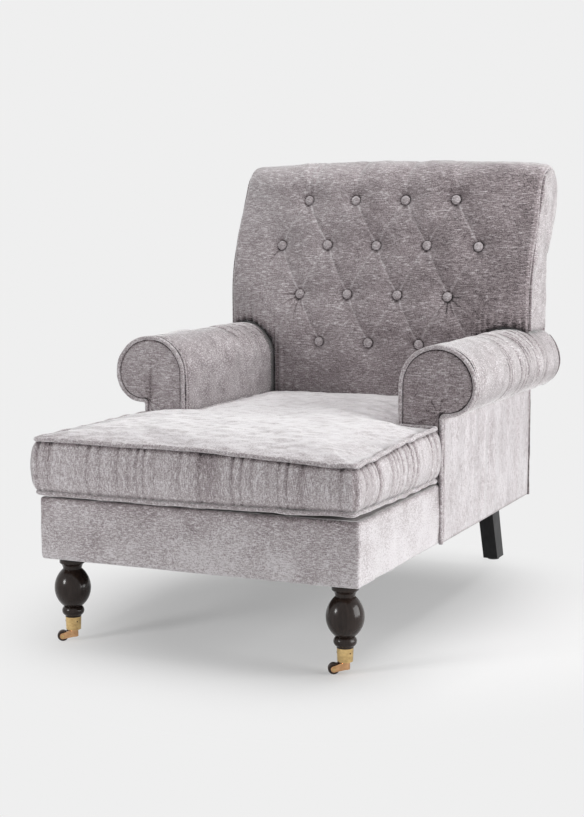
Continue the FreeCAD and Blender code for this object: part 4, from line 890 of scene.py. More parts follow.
# Painted highlights on creases and folds, painted shade in pleats, round buttons, rucks, tucks and towards
# the right.
painted_shading = CREASE_HIGHLIGHT * highlight_lines + EDGE_LIGHT * stitch
painted_shading -= PLEAT_DARK * pleated * ahead + RING_DARK * button_ring * ahead
painted_shading -= RUCK_DARK * np.maximum(ruck, 0) + TUCK_DARK * tucked_in
painted_shading -= ACROSS_SHADE * x / BACK_SIDE * ahead
pull -= 0.0012 * crush(plain_back, 0.12, 21) + 0.0005 * crush(plain_back, 0.04, 22)
normals = unit(np.cross(np.gradient(plain_back, axis=0), np.gradient(plain_back, axis=1)))
normals *= np.sign(-normals[COLUMNS // 2, FACE_ROWS // 2, 1])
face_points = plain_back - normals * pull[..., None]
print("back folds: deepest", round(float(pull.max() * 1000), 1), "mm")

# %% [markdown]
# The cover goes on behind the face, down the frame, so each column becomes a closed ring and the back
# is one stuffed body. The buttons are little domes of the same cloth, seated square in their hollows.

# %% Back, closed, and its buttons
FRAME_FACE, FRAME_LEAN, FRAME_TOP, BEHIND_ROWS = 0.4412, 0.02, 0.75, 12


def across_back(y, z):
    """One point for each column of the back, at a depth and a height."""
    return stacked(columns, y, z)[:, None]


behind = np.linspace(0, 1, BEHIND_ROWS)[None, :, None]
corner = across_back(FRAME_FACE + FRAME_LEAN, FRAME_TOP)
foot = across_back(FRAME_FACE, back_floor(columns))
back_rings = np.concatenate([face_points, corner + (foot - corner) * behind], axis=1)
back = lofted("back_cover", back_rings, cover_back)
set_point_values(back, np.hstack([painted_shading, np.zeros((COLUMNS, BEHIND_ROWS))]))
upholstered(back, "chair_frame", "cover", "back_cushion", fill=0.8)
print("back cover:", len(back.data.polygons), "faces")

BUTTON_RADIUS, BUTTON_EDGE, BUTTON_DOME, BUTTON_DEPTH = 0.0109, 0.0040, 0.0050, 0.0165
BUTTON_SIDES = 28


def covered_button(index, x, z):
    """A dome whose rings grow to the rim and tuck under it, on the face's normal at a button's place."""
    column = np.abs(columns - x).argmin()
    row = np.abs(plain_back[column, :FOOT_ROWS + FACE_ROWS, 2] - z).argmin()
    out = normals[column, row]
    side = unit(np.cross([0.0, 0.0, 1.0], out))
    turn = np.linspace(0, math.pi / 2, 8)
    reach = BUTTON_RADIUS * np.concatenate([[0.05, 0.6, 0.9], np.cos(turn)[:-1], [0.05]])
    rise = np.concatenate([[0, 0, 0.0006], BUTTON_EDGE + BUTTON_DOME * np.sin(turn)])
    seat = plain_back[column, row] + (rise - BUTTON_DEPTH)[:, None, None] * out
    rings = seat + reach[:, None, None] * circle(BUTTON_SIDES, side, np.cross(out, side))
    return lofted(f"button_{index}", rings, cover_button)


button_set = joined("covered_buttons", [covered_button(i, x, z) for i, (x, z) in enumerate(buttons)])
upholstered(button_set, "chair_frame", "buttons", "back_buttons", fill=1.0)
print(len(buttons), "buttons")

# %% [markdown]
# Flat upholstered panels come next: the sides of the back, the facings of the arms, the outsides of the
# arms, the outside back. Each is a pillow on an outline: rings run from the middle of its hidden side,
# round a soft edge, to the middle of its shown side, which swells a little.

# %% Pillow panels
def pillow(name, loop, middle, lay, thick, swell, finish, soft=0.004, detail=None, painted_shade=None, rim=0.0):
    """A padded panel: an outline in a plane, laid into space by lay(a, b, height), with a rounded edge.

    Detail adds height to the shown side; a second function darkens or lightens it as painted shade and
    light, and rim paints shade along the edge and over the hidden side.
    """
    turn = np.linspace(0, math.pi / 2, 5)
    hidden = np.array([0.02, 0.4, 0.8, 1.0])
    shown = np.concatenate([[0.99, 0.975, 0.955, 0.93], np.linspace(0.9, 0.02, 30)])
    still = np.ones(len(shown))
    inset = np.concatenate([[soft / 8] * len(hidden), soft * (1 - np.cos(turn)), soft * still])
    share = np.concatenate([hidden, np.ones(len(turn)), shown])
    lift = np.concatenate([0 * hidden, thick - soft + soft * np.sin(turn), thick * still])
    front = np.arange(len(share)) >= len(hidden) + len(turn)
    ring = loop[None] - inset[:, None, None] * outward(loop)[None]
    ring = middle + (ring - middle) * share[:, None, None]
    low, high = loop.min(axis=0), loop.max(axis=0)
    off = np.clip((2 * ring - low - high) / (high - low), -1, 1)
    full = (1 - off[..., 0] ** 4) * (1 - off[..., 1] ** 4) * (1 - share ** 8)[:, None]
    height = lift[:, None] + swell * full * front[:, None]
    # Painted shade: the rim darkens the edge and the hidden side, and the second function the shown side.
    painted_shading = np.where(front, rim * pinch(1 - share, 0.012), rim)[:, None] + np.zeros(ring.shape[:2])
    if detail is not None:
        height += detail(ring[..., 0], ring[..., 1]) * (front * (1 - share ** 12))[:, None]
    if painted_shade is not None:
        painted_shading += painted_shade(ring[..., 0], ring[..., 1]) * front[:, None]
    panel = lofted(name, lay(ring[..., 0], ring[..., 1], height), finish)
    set_point_values(panel, painted_shading)
    return panel


section_rows = np.linspace(0, 1, 210)
edge_floor = float(back_floor(np.array(GUSSET_INNER)))
side_front = back_section(np.array(GUSSET_INNER), section_rows, np.array(edge_floor))[:, 1:]
side_in = -beside(np.gradient(side_front, axis=0))
side_front = side_front + SIDE_ROUND * (1 - ease(section_rows, 0.8, 0.98))[:, None] * side_in
PAD_REAR = 0.5065
side_rear = np.array([(PAD_REAR, PANEL_CORNER[1]), (PAD_REAR, edge_floor)])
side_loop = evenly(np.vstack([side_front, side_rear]), 300, True)
SIDE_MIDDLE = np.array([0.480, 0.800])
# Each side of the back is drawn darker at its rim, as painted shade.
for label, sign in SIDES:
    panel = pillow(
        f"{label}_back_side", side_loop, SIDE_MIDDLE,
        lambda a, b, h, sign=sign: stacked(sign * (GUSSET_INNER + h), a, b),
        BACK_SIDE - GUSSET_INNER + 0.0005, 0.002, cover_arm, soft=0.002,
        detail=lambda a, b: 0.0010 * crush_flat(a, b, 0.06, 31), rim=-0.12,
    )
    upholstered(panel, "chair_frame", "cover", f"{label}_back_gusset", fill=0.6)
print("two sides of the back")

# %% [markdown]
# A rolled arm is a board with a round head, padded over the top and down the inside. The cloth goes
# round the roll in one piece, so its wrinkles run round it too, mostly towards the back where it is
# pulled in under the scroll, and it puckers where it is tacked under the roll.

# %% Rolled arms
PANEL_OUTER, ROLL_OUTER, ROLL_DROP = 0.349, 0.420, 0.064
UNDER_RUN = ROLL_OUTER - PANEL_OUTER
UNDER_RADIUS = (UNDER_RUN ** 2 + ROLL_DROP ** 2) / (2 * UNDER_RUN)
UNDER_X = ROLL_OUTER - UNDER_RADIUS
UNDER_END = math.degrees(math.atan2(-ROLL_DROP, PANEL_OUTER - UNDER_X))
ARM_FRONT, PAD_FRONT, ARM_PAD = -0.1355, -0.1275, 0.014


def roll_outline(inset, foot, count):
    """Half an arm's outline, inset: up the inner face, over the roll and under it to the outer panel."""
    inner = [(ARM_INNER + inset, foot), (ARM_INNER + inset, ROLL_Z)]
    over = arc((ROLL_X, ROLL_Z), ROLL_RADIUS - inset, 180, 0, 60)
    under = arc((UNDER_X, ROLL_Z), UNDER_RADIUS - inset, 0, UNDER_END, 40)
    return evenly(np.vstack([inner, over, under]), count, False)


AROUND, ALONG, WRINKLES = 112, 310, 54
DEEPEST, DARK_WIDTH, STITCH_IN, ARM_STITCH = 0.0026, 0.0022, 0.012, 0.0016
PUCKER_STEP, PUCKER_DEPTH, BESIDE_BACK = 0.019, 0.0030, 0.006
# Painted shade: how much darker it is drawn in puckers, wrinkles, at the front edge, in the stitched line
# and beside the back
PUCKER_DARK, WRINKLE_DARK, FRONT_DARK, LINE_DARK, BACK_DARK = 0.30, 0.33, 0.40, 0.10, 0.70
outer, inner = roll_outline(0.0, SOFT_FLOOR, AROUND), roll_outline(ARM_PAD, SOFT_FLOOR, AROUND)
depth = np.linspace(PAD_FRONT, PAD_REAR, ALONG)
way = np.linspace(0, 1, AROUND)
draw = np.random.default_rng(7)
wrinkles = np.column_stack([
    PAD_FRONT + (PAD_REAR - PAD_FRONT) * draw.beta(4.6, 2.8, WRINKLES),
    draw.uniform(0.002, 0.0042, WRINKLES),
    draw.uniform(0.0008, DEEPEST, WRINKLES), draw.uniform(0.50, 0.86, WRINKLES),
    draw.uniform(0.06, 0.16, WRINKLES), draw.uniform(-0.05, 0.05, WRINKLES),
])


def arm_wrinkles(d, w):
    """Depth of the creases round the roll, each on a stretch of it, and the painted shade in their
    bottoms.
    """
    total = np.zeros(np.broadcast_shapes(d.shape, w.shape))
    dark = np.zeros_like(total)
    for place, width, deep, middle, reach, slant in wrinkles:
        off = np.abs(d - place - slant * (w - middle))
        stretch = dent(w - middle, reach)
        total += deep * pinch(off, width) * stretch
        dark = np.maximum(dark, deep / DEEPEST * dent(off, DARK_WIDTH) * stretch)
    return total, dark


d, w = depth[:, None], way[None]
plain_arm = stacked(outer[None, :, 0], d, outer[None, :, 1])
sunk, wrinkled = arm_wrinkles(d, w)
tucks = (pleats(d, PUCKER_STEP, 1.6) + 0 * w) * ease(w, 0.86, 1.0) * fitful(d, 0.4, 31)
sunk -= PUCKER_DEPTH * tucks
stitched = dent(d - PAD_FRONT - STITCH_IN, 0.002)
at_front = pinch(d - PAD_FRONT, 0.004)
# Painted shade in the puckers and wrinkles, along the front edge and the stitched line, and beside the
# back.
arm_shading = PUCKER_DARK * tucks - WRINKLE_DARK * wrinkled - FRONT_DARK * at_front - LINE_DARK * stitched
back_line = BACK_FRONT + BACK_CROWN * (outer[None, :, 0] / GUSSET_INNER) ** CROWN_POWER - 0.004
arm_shading -= BACK_DARK * pinch(np.maximum(back_line - d, 0), BESIDE_BACK) * (w < 0.62) * (d < 0.36)
sunk += 0.0010 * (1 + crush(plain_arm, 0.09, 41)) + ARM_STITCH * stitched
normal_w = beside(np.gradient(outer, axis=0))
skin = plain_arm - sunk[..., None] * stacked(normal_w[:, 0], 0.0, normal_w[:, 1])[None]
lining = stacked(inner[None, ::-1, 0], d, inner[None, ::-1, 1])
arm_rings = np.concatenate([skin, lining], axis=1)
for label, sign in SIDES:
    arm = lofted(f"{label}_arm_cover", arm_rings * (sign, 1, 1), cover_arm, caps="strip")
    set_point_values(arm, np.hstack([arm_shading, np.zeros_like(arm_shading)]))
    upholstered(arm, "chair_frame", "cover", f"{label}_arm_pad", fill=0.7)
print("rolled arms:", AROUND * ALONG, "points each")

# %% [markdown]
# The facing closes the front of the arm. Its cloth is pulled over a thin pad, so it swells a little, has
# one upright fold over the corner under the roll, and small folds that fan out from that corner.

# %% Arm facings
FACING_INSET = 0.0050
facing_line = roll_outline(FACING_INSET, SOFT_FLOOR, 150)
facing_edge = PANEL_OUTER - FACING_INSET
facing_foot = [(facing_edge, facing_line[-1, 1]), (facing_edge, SOFT_FLOOR)]
facing_loop = evenly(np.vstack([facing_line, facing_foot]), 220, True)
FACING_MIDDLE = np.array([0.306, 0.470])
FOLD_CORNER = (PANEL_OUTER - 0.009, ROLL_Z - ROLL_DROP + 0.004)
FAN_FOLDS, FAN_REACH, FAN_START, FAN_DEPTH, FAN_DARK = 9, 0.022, 0.004, 0.0015, 0.60
FOLD_FOOT, FOLD_HEAD = (0.43, 0.445), (-0.575, -0.47)
FOLD_WIDTH, FOLD_DEPTH, FOLD_DARK = 0.004, 0.0035, 0.34


def corner_fan(a, b):
    """Short folds that fan up from the corner under the roll: 1 in a fold, fading with distance."""
    away = np.hypot(a - FOLD_CORNER[0], b - FOLD_CORNER[1])
    angle = np.arctan2(b - FOLD_CORNER[1], a - FOLD_CORNER[0])
    return np.maximum(np.cos(angle * FAN_FOLDS), 0) ** 5 * pinch(away, FAN_REACH) * (away > FAN_START)


def upright_fold(a, b):
    """One fold that climbs from the same corner, a little inwards: 1 in its bottom."""
    fold_x = a - FOLD_CORNER[0] + 0.004 + 0.06 * (b - FOLD_CORNER[1])
    return pinch(np.abs(fold_x), FOLD_WIDTH) * ease(b, *FOLD_FOOT) * ease(-b, *FOLD_HEAD)


# The upright fold is plain on the left arm and only a trace on the right one.
FOLD_SHARE = {"left": 1.0, "right": 0.12}


def facing_height(label):
    """A function for the height of one facing: folded at the corner, and slightly uneven."""
    def height(a, b):
        folds = FAN_DEPTH * corner_fan(a, b) + FOLD_DEPTH * FOLD_SHARE[label] * upright_fold(a, b)
        return 0.0006 * crush_flat(a, b, 0.05, 51) - folds
    return height


def facing_shade(label):
    """A function for the painted shade in the folds of one facing."""
    return lambda a, b: -FAN_DARK * corner_fan(a, b) - FOLD_DARK * FOLD_SHARE[label] * upright_fold(a, b)


FACING_BACK, FACING_THICK = 0.0077, 0.0072
# The left facing's cloth is a lighter copy of the back's, as painted light; the right facing uses the
# back's own.
lit_left_facing = chenille("cover_left_facing_lit", (75.0, 75.0, 410.0), (9.0, 9.0, 20.0), 0.3, 0.04)
facing_cloth = {"left": lit_left_facing, "right": cover_back}
# Each facing is drawn darker in its folds and at its rim, as painted shade.
for label, sign in SIDES:
    facing = pillow(
        f"{label}_facing", facing_loop, FACING_MIDDLE,
        lambda a, b, h, sign=sign: stacked(sign * a, ARM_FRONT + FACING_BACK - h, b),
        FACING_THICK, 0.0026, facing_cloth[label], soft=0.0055,
        detail=facing_height(label), painted_shade=facing_shade(label), rim=-0.48,
    )
    upholstered(facing, "chair_frame", "cover", f"{label}_arm_facing", fill=0.6)
print("two facings")

# %% [markdown]
# The arm's piping starts at the foot of the outer panel, goes up its edge, turns out under the roll and
# round it. At the front it comes down the inside to the seat; at the rear it ends beside the back.

# %% Arm piping
TURN = 2 * PIPING
LEG_HEIGHT, BACK_HALF = 0.174, 0.382
piping_edge = PANEL_OUTER - PIPING
piping_reach = UNDER_RADIUS - PIPING + TURN
across = piping_edge + TURN - UNDER_X
turn_z = ROLL_Z - math.sqrt(piping_reach ** 2 - across ** 2)
meet = math.degrees(math.atan2(turn_z - ROLL_Z, across))
climb = np.array([(piping_edge, LEG_HEIGHT), (piping_edge, turn_z)])
bend = arc((piping_edge + TURN, turn_z), TURN, 180, 180 + meet, 12)
under = arc((UNDER_X, ROLL_Z), UNDER_RADIUS - PIPING, meet, 0, 30)
roll_in = ROLL_RADIUS - PIPING
stop = math.degrees(math.acos((BACK_HALF + 0.008 - ROLL_X) / roll_in))
front_line = np.vstack([climb, bend, under, arc((ROLL_X, ROLL_Z), roll_in, 0, 180, 60),
                        [(ARM_INNER + PIPING, SOFT_FLOOR)]])
rear_line = np.vstack([climb, bend, under, arc((ROLL_X, ROLL_Z), roll_in, 0, stop, 20)])
arm_lines = (
    ("front", front_line, ARM_FRONT + 0.002, 260, piping_cloth),
    ("rear", rear_line, 0.5145, 150, shaded_rear_cloth),
)
for end, line, level, count, finish in arm_lines:
    flat = evenly(line, count, False)
    for label, sign in SIDES:
        path = stacked(sign * flat[:, 0], level, flat[:, 1])
        cord = piping(f"{label}_arm_{end}_piping", path, finish, False, 0.0005, 61)
        upholstered(cord, "chair_frame", "piping", f"{label}_arm_{end}_welt", fill=1.0)
print("arm piping, front and rear")

# %% [markdown]
# The outside of an arm is one flat panel from the legs' height to the roll, a little proud of the seat
# box. The outside back closes the chair from behind, with a round ear behind each roll.

# %% Outside panels
def hanging(a, b):
    """Slight upright drags in a cloth that is pulled down and tacked underneath."""
    return 0.0009 * crush_flat(a, b * 0.12, 0.045, 71) + 0.0006 * crush_flat(a, b, 0.1, 72)


PANEL_INNER, PANEL_TOP = 0.3313, 0.4377
panel_loop = rounded([
    (PAD_FRONT, LEG_HEIGHT), (PAD_REAR, LEG_HEIGHT), (PAD_REAR, PANEL_TOP), (PAD_FRONT, PANEL_TOP),
], 0.004, 300)
# These panels wear the lighter upright copy of the cloth, as painted light, and a darker rim, as painted
# shade.
for label, sign in SIDES:
    panel = pillow(
        f"{label}_arm_outside", panel_loop, panel_loop.mean(axis=0),
        lambda a, b, h, sign=sign: stacked(sign * (PANEL_INNER + h), a, b),
        PANEL_OUTER - PANEL_INNER - 0.0015, 0.0, cover_upright, soft=0.004, detail=hanging, rim=-0.25,
    )
    upholstered(panel, "chair_frame", "cover", f"{label}_arm_outer_panel", fill=0.5)

REAR_Y, PANEL_BACK_TOP = 0.5165, 0.755
ear = roll_outline(FACING_INSET, SOFT_FLOOR, 400)
ear = ear[(ear[:, 0] > BACK_HALF) | ((ear[:, 1] < ROLL_Z) & (ear[:, 0] > facing_edge))]
right_side = np.vstack([[(facing_edge, LEG_HEIGHT)], ear[::-1], [(BACK_HALF, PANEL_BACK_TOP)]])
rear_loop = evenly(both_sides(right_side), 420, True)
# The outside back too: lighter upright cloth as painted light, darker rim as painted shade.
outside = pillow(
    "outside_back_cover", rear_loop, np.array([0.0, 0.47]),
    lambda a, b, h: stacked(a, PAD_REAR + h, b),
    REAR_Y - PAD_REAR - 0.001, 0.0, cover_upright, soft=0.004, detail=hanging, rim=-0.2,
)
upholstered(outside, "chair_frame", "cover", "outside_back", fill=0.5)
print("outside panels")

# %% [markdown]
# The seat box wears one band of cloth, from arm to arm round the two front corners. Its section is a
# thin pad with soft upper and lower edges, carried along the plan of the box.

# %% Seat box band
BOX_HALF, BOX_FRONT, BOX_TOP, BAND_PAD, BAND_CORNER = 0.341, -0.5825, 0.299, 0.010, 0.007
SIDE_END = ARM_FRONT - SOFT_GAP
band_bend = arc((BOX_HALF - BAND_CORNER, BOX_FRONT + BAND_CORNER), BAND_CORNER, 0, -90, 10)
half_plan = np.vstack([[(BOX_HALF, SIDE_END)], band_bend])
band_plan = evenly(both_sides(half_plan), 420, False)
band_out = beside(np.gradient(band_plan, axis=0))
band_out *= np.sign(band_out[0, 0])
BAND_ROWS, EDGE_ROUND, BAND_SWELL = 30, 0.006, 0.0015
# Painted light and shade: lighter towards the foot and at the sides, darker at the top under the cushion,
# in the shade on the right of the front, and at the ends beside the arms
FOOT_LIGHT, UPPER_DARK, SIDE_LIGHT, SHADED_DARK, END_DARK = 0.16, 0.25, 0.1, 0.16, 0.6
climb = (1 - np.cos(np.linspace(0, math.pi, BAND_ROWS))) / 2
box_height = BOX_TOP - LEG_HEIGHT
into_edge = np.clip(np.abs(climb - 0.5) * box_height - box_height / 2 + EDGE_ROUND, 0, EDGE_ROUND)
soft_edge = EDGE_ROUND - np.sqrt(np.maximum(EDGE_ROUND ** 2 - into_edge ** 2, 0))
face_out = -soft_edge + BAND_SWELL * np.sin(math.pi * climb)
levels = LEG_HEIGHT + climb * box_height
section_out = np.concatenate([face_out, [-BAND_PAD, -BAND_PAD]])
section_z = np.concatenate([levels, [BOX_TOP, LEG_HEIGHT]])
band = band_plan[:, None] + section_out[None, :, None] * band_out[:, None]
band_rings = np.dstack([band, np.broadcast_to(section_z, band.shape[:2])])
uneven = 0.0009 * crush(band_rings, 0.10, 81) + 0.0004 * crush(band_rings, 0.035, 82)
uneven[:, BAND_ROWS:] = 0
band_rings[..., :2] += uneven[..., None] * band_out[:, None]
seat_band = lofted("seat_box_band", band_rings, cover_band)
# Painted light and shade, as listed above, put on the band's face.
upwards = np.concatenate([FOOT_LIGHT * (0.5 - climb) - UPPER_DARK * pinch(1 - climb, 0.04), [0, 0]])
band_shading = upwards[None] + SIDE_LIGHT * ease(np.abs(band_out[:, 0]), 0.6, 0.9)[:, None]
shaded = ease(band_plan[:, 0], 0.0, 0.3) * ease(-band_out[:, 1], 0.6, 0.9)
band_shading[:, :BAND_ROWS] -= SHADED_DARK * shaded[:, None] * pinch(1 - climb, 0.3)
side_run = np.where(np.abs(band_out[:, 0]) > 0.6, SIDE_END - band_plan[:, 1], 1.0)
set_point_values(seat_band, band_shading - END_DARK * pinch(side_run, 0.007)[:, None])
upholstered(seat_band, "chair_frame", "cover", "front_band", "left_side_band", "right_side_band", fill=0.5)
print("band round the seat box")

# %% [markdown]
# Under the cushion lies the deck: a felt pad with a plain cover. Nobody sees it until the cushion is
# lifted, but it has to be there. The dust cloth closes the chair from below and hangs a little between
# the rails; it is thin, so it is a sheet that a modifier gives its wall.

# %% Deck and dust cloth
def plain_cloth(name, colour, threads):
    """A plain woven cloth: crossed threads and a little unevenness."""
    cloth = Finish(name, Sheen_Weight=0.1, Specular_IOR_Level=0.2)
    weft = cloth.noise((threads, threads / 6, threads), 1.0)
    warp = cloth.noise((threads / 6, threads, threads), 1.0)
    weave = weft * 0.45 + warp * 0.45 + cloth.noise((14.0, 14.0, 14.0), 3.0) * 0.2 - 0.05
    dark = tuple(0.6 * c for c in colour)
    cloth.set(Base_Color=cloth.blend(weave * 1.6 - 0.3, dark, colour), Roughness=0.98 - 0.1 * weave)
    cloth.bump(weave, 0.3, 0.0006)
    return cloth.material


DECK_WIDE, DECK_NARROW, DECK_FRONT, DECK_REAR, DECK_BOTTOM = 0.3307, 0.2667, -0.5722, 0.4415, 0.284
FELT_THICK, FELT_TOP, DECK_CLOTH = 0.013, 0.297, 0.002
deck_right = [(DECK_WIDE, DECK_FRONT), (DECK_WIDE, ARM_FRONT)]
deck_right += [(DECK_NARROW, ARM_FRONT), (DECK_NARROW, DECK_REAR)]
deck_loop = rounded(both_sides(deck_right), 0.004, 400)
felt = pillow("deck_felt", deck_loop, CUSHION_MIDDLE, lambda a, b, h: stacked(a, b, DECK_BOTTOM + h),
              FELT_THICK, 0.0, plain_cloth("felt", (0.33, 0.31, 0.29), 420.0), soft=0.003)
upholstered(felt, "chair_frame", "felt", "seat_deck_felt", fill=0.6)
deck_cover = pillow("deck_cover", deck_loop, CUSHION_MIDDLE, lambda a, b, h: stacked(a, b, FELT_TOP + h),
                    DECK_CLOTH, 0.0, plain_cloth("deck_cloth", (0.44, 0.41, 0.41), 360.0), soft=0.0008)
upholstered(deck_cover, "chair_frame", "deck", "seat_deck_cover", fill=0.3)

DUST_HALF, DUST_FRONT, DUST_REAR, SAG = 0.326, -0.5675, 0.5015, 0.005
DUST_ACROSS, DUST_ALONG, DUST_WALL = 60, 90, 0.001
across, along = np.linspace(-1, 1, DUST_ACROSS), np.linspace(0, 1, DUST_ALONG)
sheet_x, sheet_y = (across * DUST_HALF)[:, None], (DUST_FRONT + along * (DUST_REAR - DUST_FRONT))[None]
hang = SAG * np.outer(1 - across ** 4, np.sin(math.pi * along) ** 0.5)
sheet_points = stacked(sheet_x, sheet_y, LEG_HEIGHT + 0.0008 - hang).reshape(-1, 3)
dust = mesh_piece("dust_cloth_sheet", sheet_points, [quads(DUST_ACROSS, DUST_ALONG, False, False)],
                  plain_cloth("dust_cloth", (0.03, 0.03, 0.032), 700.0))
wall = dust.modifiers.new("wall", "SOLIDIFY")
wall.thickness, wall.offset = DUST_WALL, 0.0
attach(dust, "chair_frame")
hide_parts("dust_cloth")
print("deck, felt and dust cloth")

# %% [markdown]
# The hard parts keep their CAD shapes and only need finishes. The turned legs are nearly black lacquer
# over close-grained wood, the castors are brass that has been handled, and the hidden frame is pale
# beech and fibreboard with jute webbing.

# %% Finishes of the hard parts
def lacquer(name, colour, rough, coat):
    """Dark lacquer on wood: faint upright grain in colour and gloss, and a clear coat."""
    wood = Finish(name, Coat_Roughness=0.1, Specular_IOR_Level=0.16)
    grain = wood.noise((160.0, 160.0, 9.0), 4.0, 0.6)
    wear = wood.noise((30.0, 30.0, 30.0), 3.0)
    light = tuple(2.6 * c + 0.006 for c in colour)
    wood.set(Base_Color=wood.blend(grain * 1.4 - 0.3, colour, light))
    wood.set(Roughness=rough + (wear - 0.5) * 0.18, Coat_Weight=coat + (grain - 0.5) * 0.2)
    wood.bump(grain, 0.08, 0.0004)
    return wood.material


def metal(name, colour, dark_patches, rough):
    """Handled metal: brush marks, and darker patches that are partly wear and partly painted reflection of
    dark surroundings.
    """
    brass = Finish(name, Metallic=1.0)
    patch = brass.noise((90.0, 90.0, 140.0), 4.0, 0.6)
    brush = brass.noise((900.0, 900.0, 60.0), 2.0)
    # The darker patches are partly wear and partly painted reflection.
    brass.set(Base_Color=brass.blend(patch * 1.8 - 0.5, colour, dark_patches))
    brass.set(Roughness=rough + (patch - 0.5) * 0.3)
    brass.bump(brush, 0.05, 0.0002)
    return brass.material


def timber(name, light, dark, grain_scale):
    """Bare wood or board: streaks between two colours along one axis."""
    wood = Finish(name, Specular_IOR_Level=0.3)
    grain = wood.noise(grain_scale, 5.0, 0.65)
    wood.set(Base_Color=wood.blend(grain * 2.0 - 0.5, dark, light), Roughness=0.62 + 0.3 * grain)
    wood.bump(grain, 0.15, 0.0005)
    return wood.material


def moulded(name, colour, rough):
    """Moulded plastic or rubber: a fine speckle and scuffs."""
    plastic = Finish(name, Specular_IOR_Level=0.4)
    speck = plastic.noise((700.0, 700.0, 700.0), 2.0)
    light = tuple(1.8 * c + 0.01 for c in colour)
    plastic.set(Base_Color=plastic.blend(speck * 1.5 - 0.4, colour, light))
    plastic.set(Roughness=rough + (speck - 0.5) * 0.3)
    plastic.bump(speck, 0.1, 0.0002)
    return plastic.material


def pairs(*names):
    """The left and the right node of each name."""
    return [f"{label}_{name}" for name in names for label, sign in SIDES]


timbers = [name for name in nodes if name.endswith(("_rail", "_post", "_upright", "_blocks"))]
dressed = (
    (pairs("front_leg"), lacquer("turned_lacquer", (0.0125, 0.0075, 0.0058), 0.24, 0.26)),
    (pairs("rear_leg"), lacquer("black_lacquer", (0.006, 0.006, 0.0065), 0.42, 0.06)),
    (pairs("castor_cup", "castor_axle"),
     metal("castor_brass", (0.80, 0.58, 0.27), (0.38, 0.24, 0.10), 0.17)),
    (pairs("castor_fork", "castor_pin"),
     metal("fork_brass", (0.72, 0.43, 0.23), (0.38, 0.21, 0.10), 0.2)),
    (["castor_cup_screws"], metal("screw_brass", (0.16, 0.11, 0.06), (0.10, 0.07, 0.04), 0.4)),
    (["leg_bolts"], metal("steel", (0.55, 0.55, 0.56), (0.35, 0.34, 0.33), 0.35)),
    (pairs("castor_wheel"), moulded("wheel_compound", (0.030, 0.018, 0.014), 0.42)),
    (["rear_leg_glides"], moulded("glide_nylon", (0.10, 0.10, 0.10), 0.5)),
    (timbers, timber("frame_beech", (0.62, 0.44, 0.27), (0.42, 0.27, 0.15), (12.0, 60.0, 160.0))),
    (pairs("arm_board"),
     timber("fibreboard", (0.36, 0.25, 0.16), (0.24, 0.16, 0.10), (300.0, 300.0, 300.0))),
    (["seat_webbing", "back_webbing"],
     timber("jute_webbing", (0.55, 0.42, 0.26), (0.30, 0.21, 0.12), (500.0, 500.0, 120.0))),
)
for names, finish in dressed:
    for name in names:
        nodes[name].data.materials.clear()
        nodes[name].data.materials.append(finish)
print("hard parts dressed:", sum(len(names) for names, finish in dressed))

# %% [markdown]
# The studio is a pale floor that runs into a background of the same tone, so there is no horizon. Near
# the chair the floor is matt paint that keeps the shadow, though a third of the even tone glows through
# there for the camera, which paints the shadow lighter; farther away the camera sees the even tone.
# A large soft lamp overhead and one on the right give the bright tops and sides; the front is in shade,
# and a small lamp there puts a highlight on each turned leg.

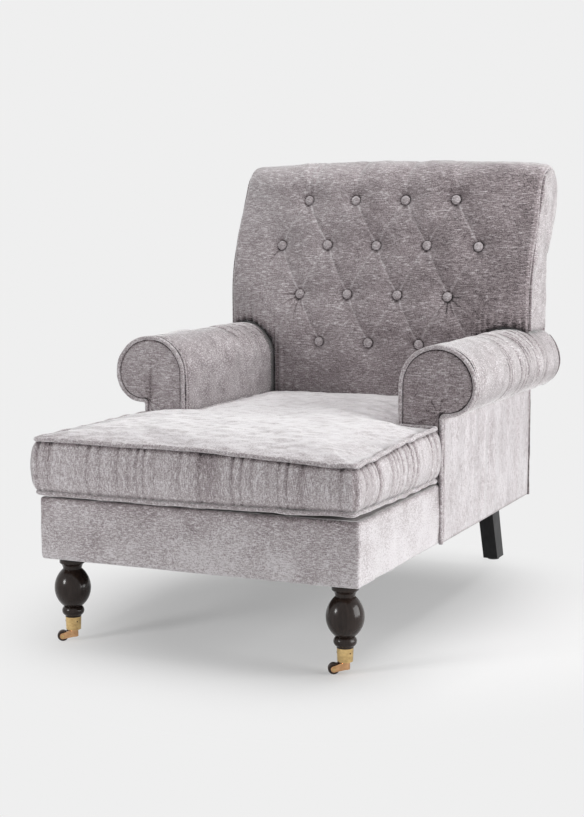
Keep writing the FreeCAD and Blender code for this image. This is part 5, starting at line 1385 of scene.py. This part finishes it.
# %% Floor, background and lamps
BACKDROP, AMBIENT = (0.863, 0.863, 0.863), (0.17, 0.17, 0.17)
FLOOR_REACH, SHADOW_MIDDLE = 30.0, (0.12, -0.15, 0.0)
SHADOW_NEAR, SHADOW_FAR, EVEN_NEAR, EVEN_FAR = 0.36, 0.84, 0.34, 1.0
floor_mesh = bpy.data.meshes.new("floor")
floor_corners = FLOOR_REACH * np.array([(-1, -1, 0), (1, -1, 0), (1, 1, 0), (-1, 1, 0)])
floor_mesh.from_pydata(floor_corners.tolist(), [], [(0, 1, 2, 3)])
floor = bpy.data.objects.new("floor", floor_mesh)
scene.collection.objects.link(floor)
paint = Finish("floor_paint", Base_Color=(0.84, 0.84, 0.84), Roughness=0.9, Specular_IOR_Level=0.1)
here = paint.add("ShaderNodeTexCoord", output=3)
far = paint.add("ShaderNodeVectorMath", {"operation": "DISTANCE"}, {0: here, 1: SHADOW_MIDDLE}, output=1)
# Painted light: even at the chair a third of the even tone glows for the camera, lightening the cast
# shadow.
fade = paint.add("ShaderNodeMapRange", {"interpolation_type": "SMOOTHSTEP"},
                 {0: far, 1: SHADOW_NEAR, 2: SHADOW_FAR, 3: EVEN_NEAR, 4: EVEN_FAR})
even = paint.add("ShaderNodeEmission", None, {0: BACKDROP, 1: 1.0})
matt = Wire(paint, paint.shader.outputs[0])
mixed = paint.add("ShaderNodeMixShader", None, {0: fade * paint.background_rays(), 1: matt, 2: even})
paint.feed(paint.tree.nodes["Material Output"].inputs[0], mixed)
floor_mesh.materials.append(paint.material)

world = bpy.data.worlds.new("studio")
world.use_nodes = True
scene.world = world
sky = Tree(world.node_tree)
sky.feed(sky.tree.nodes["Background"].inputs[0], sky.blend(sky.background_rays(), AMBIENT, BACKDROP))


def softbox(name, place, target, size, watts):
    """A square area lamp that faces a point."""
    lamp = bpy.data.lights.new(name, "AREA")
    lamp.size, lamp.energy = size, watts
    made = bpy.data.objects.new(name, lamp)
    back = unit(np.array(place) - target)
    side = unit(np.cross((0.0, 1.0, 0.0), back))
    made.matrix_world = standing(side, np.cross(back, side), back, place)
    scene.collection.objects.link(made)


softbox("overhead", (0.3, 0.4, 3.2), (0.0, 0.0, 0.5), 2.6, 78.0)
softbox("right", (3.2, 0.1, 0.8), (0.0, 0.0, 0.4), 2.2, 100.0)
softbox("front", (-1.2, -2.2, 0.9), (0.0, -0.5, 0.3), 0.45, 17.0)
scene.view_settings.view_transform = "Standard"
print("studio ready")
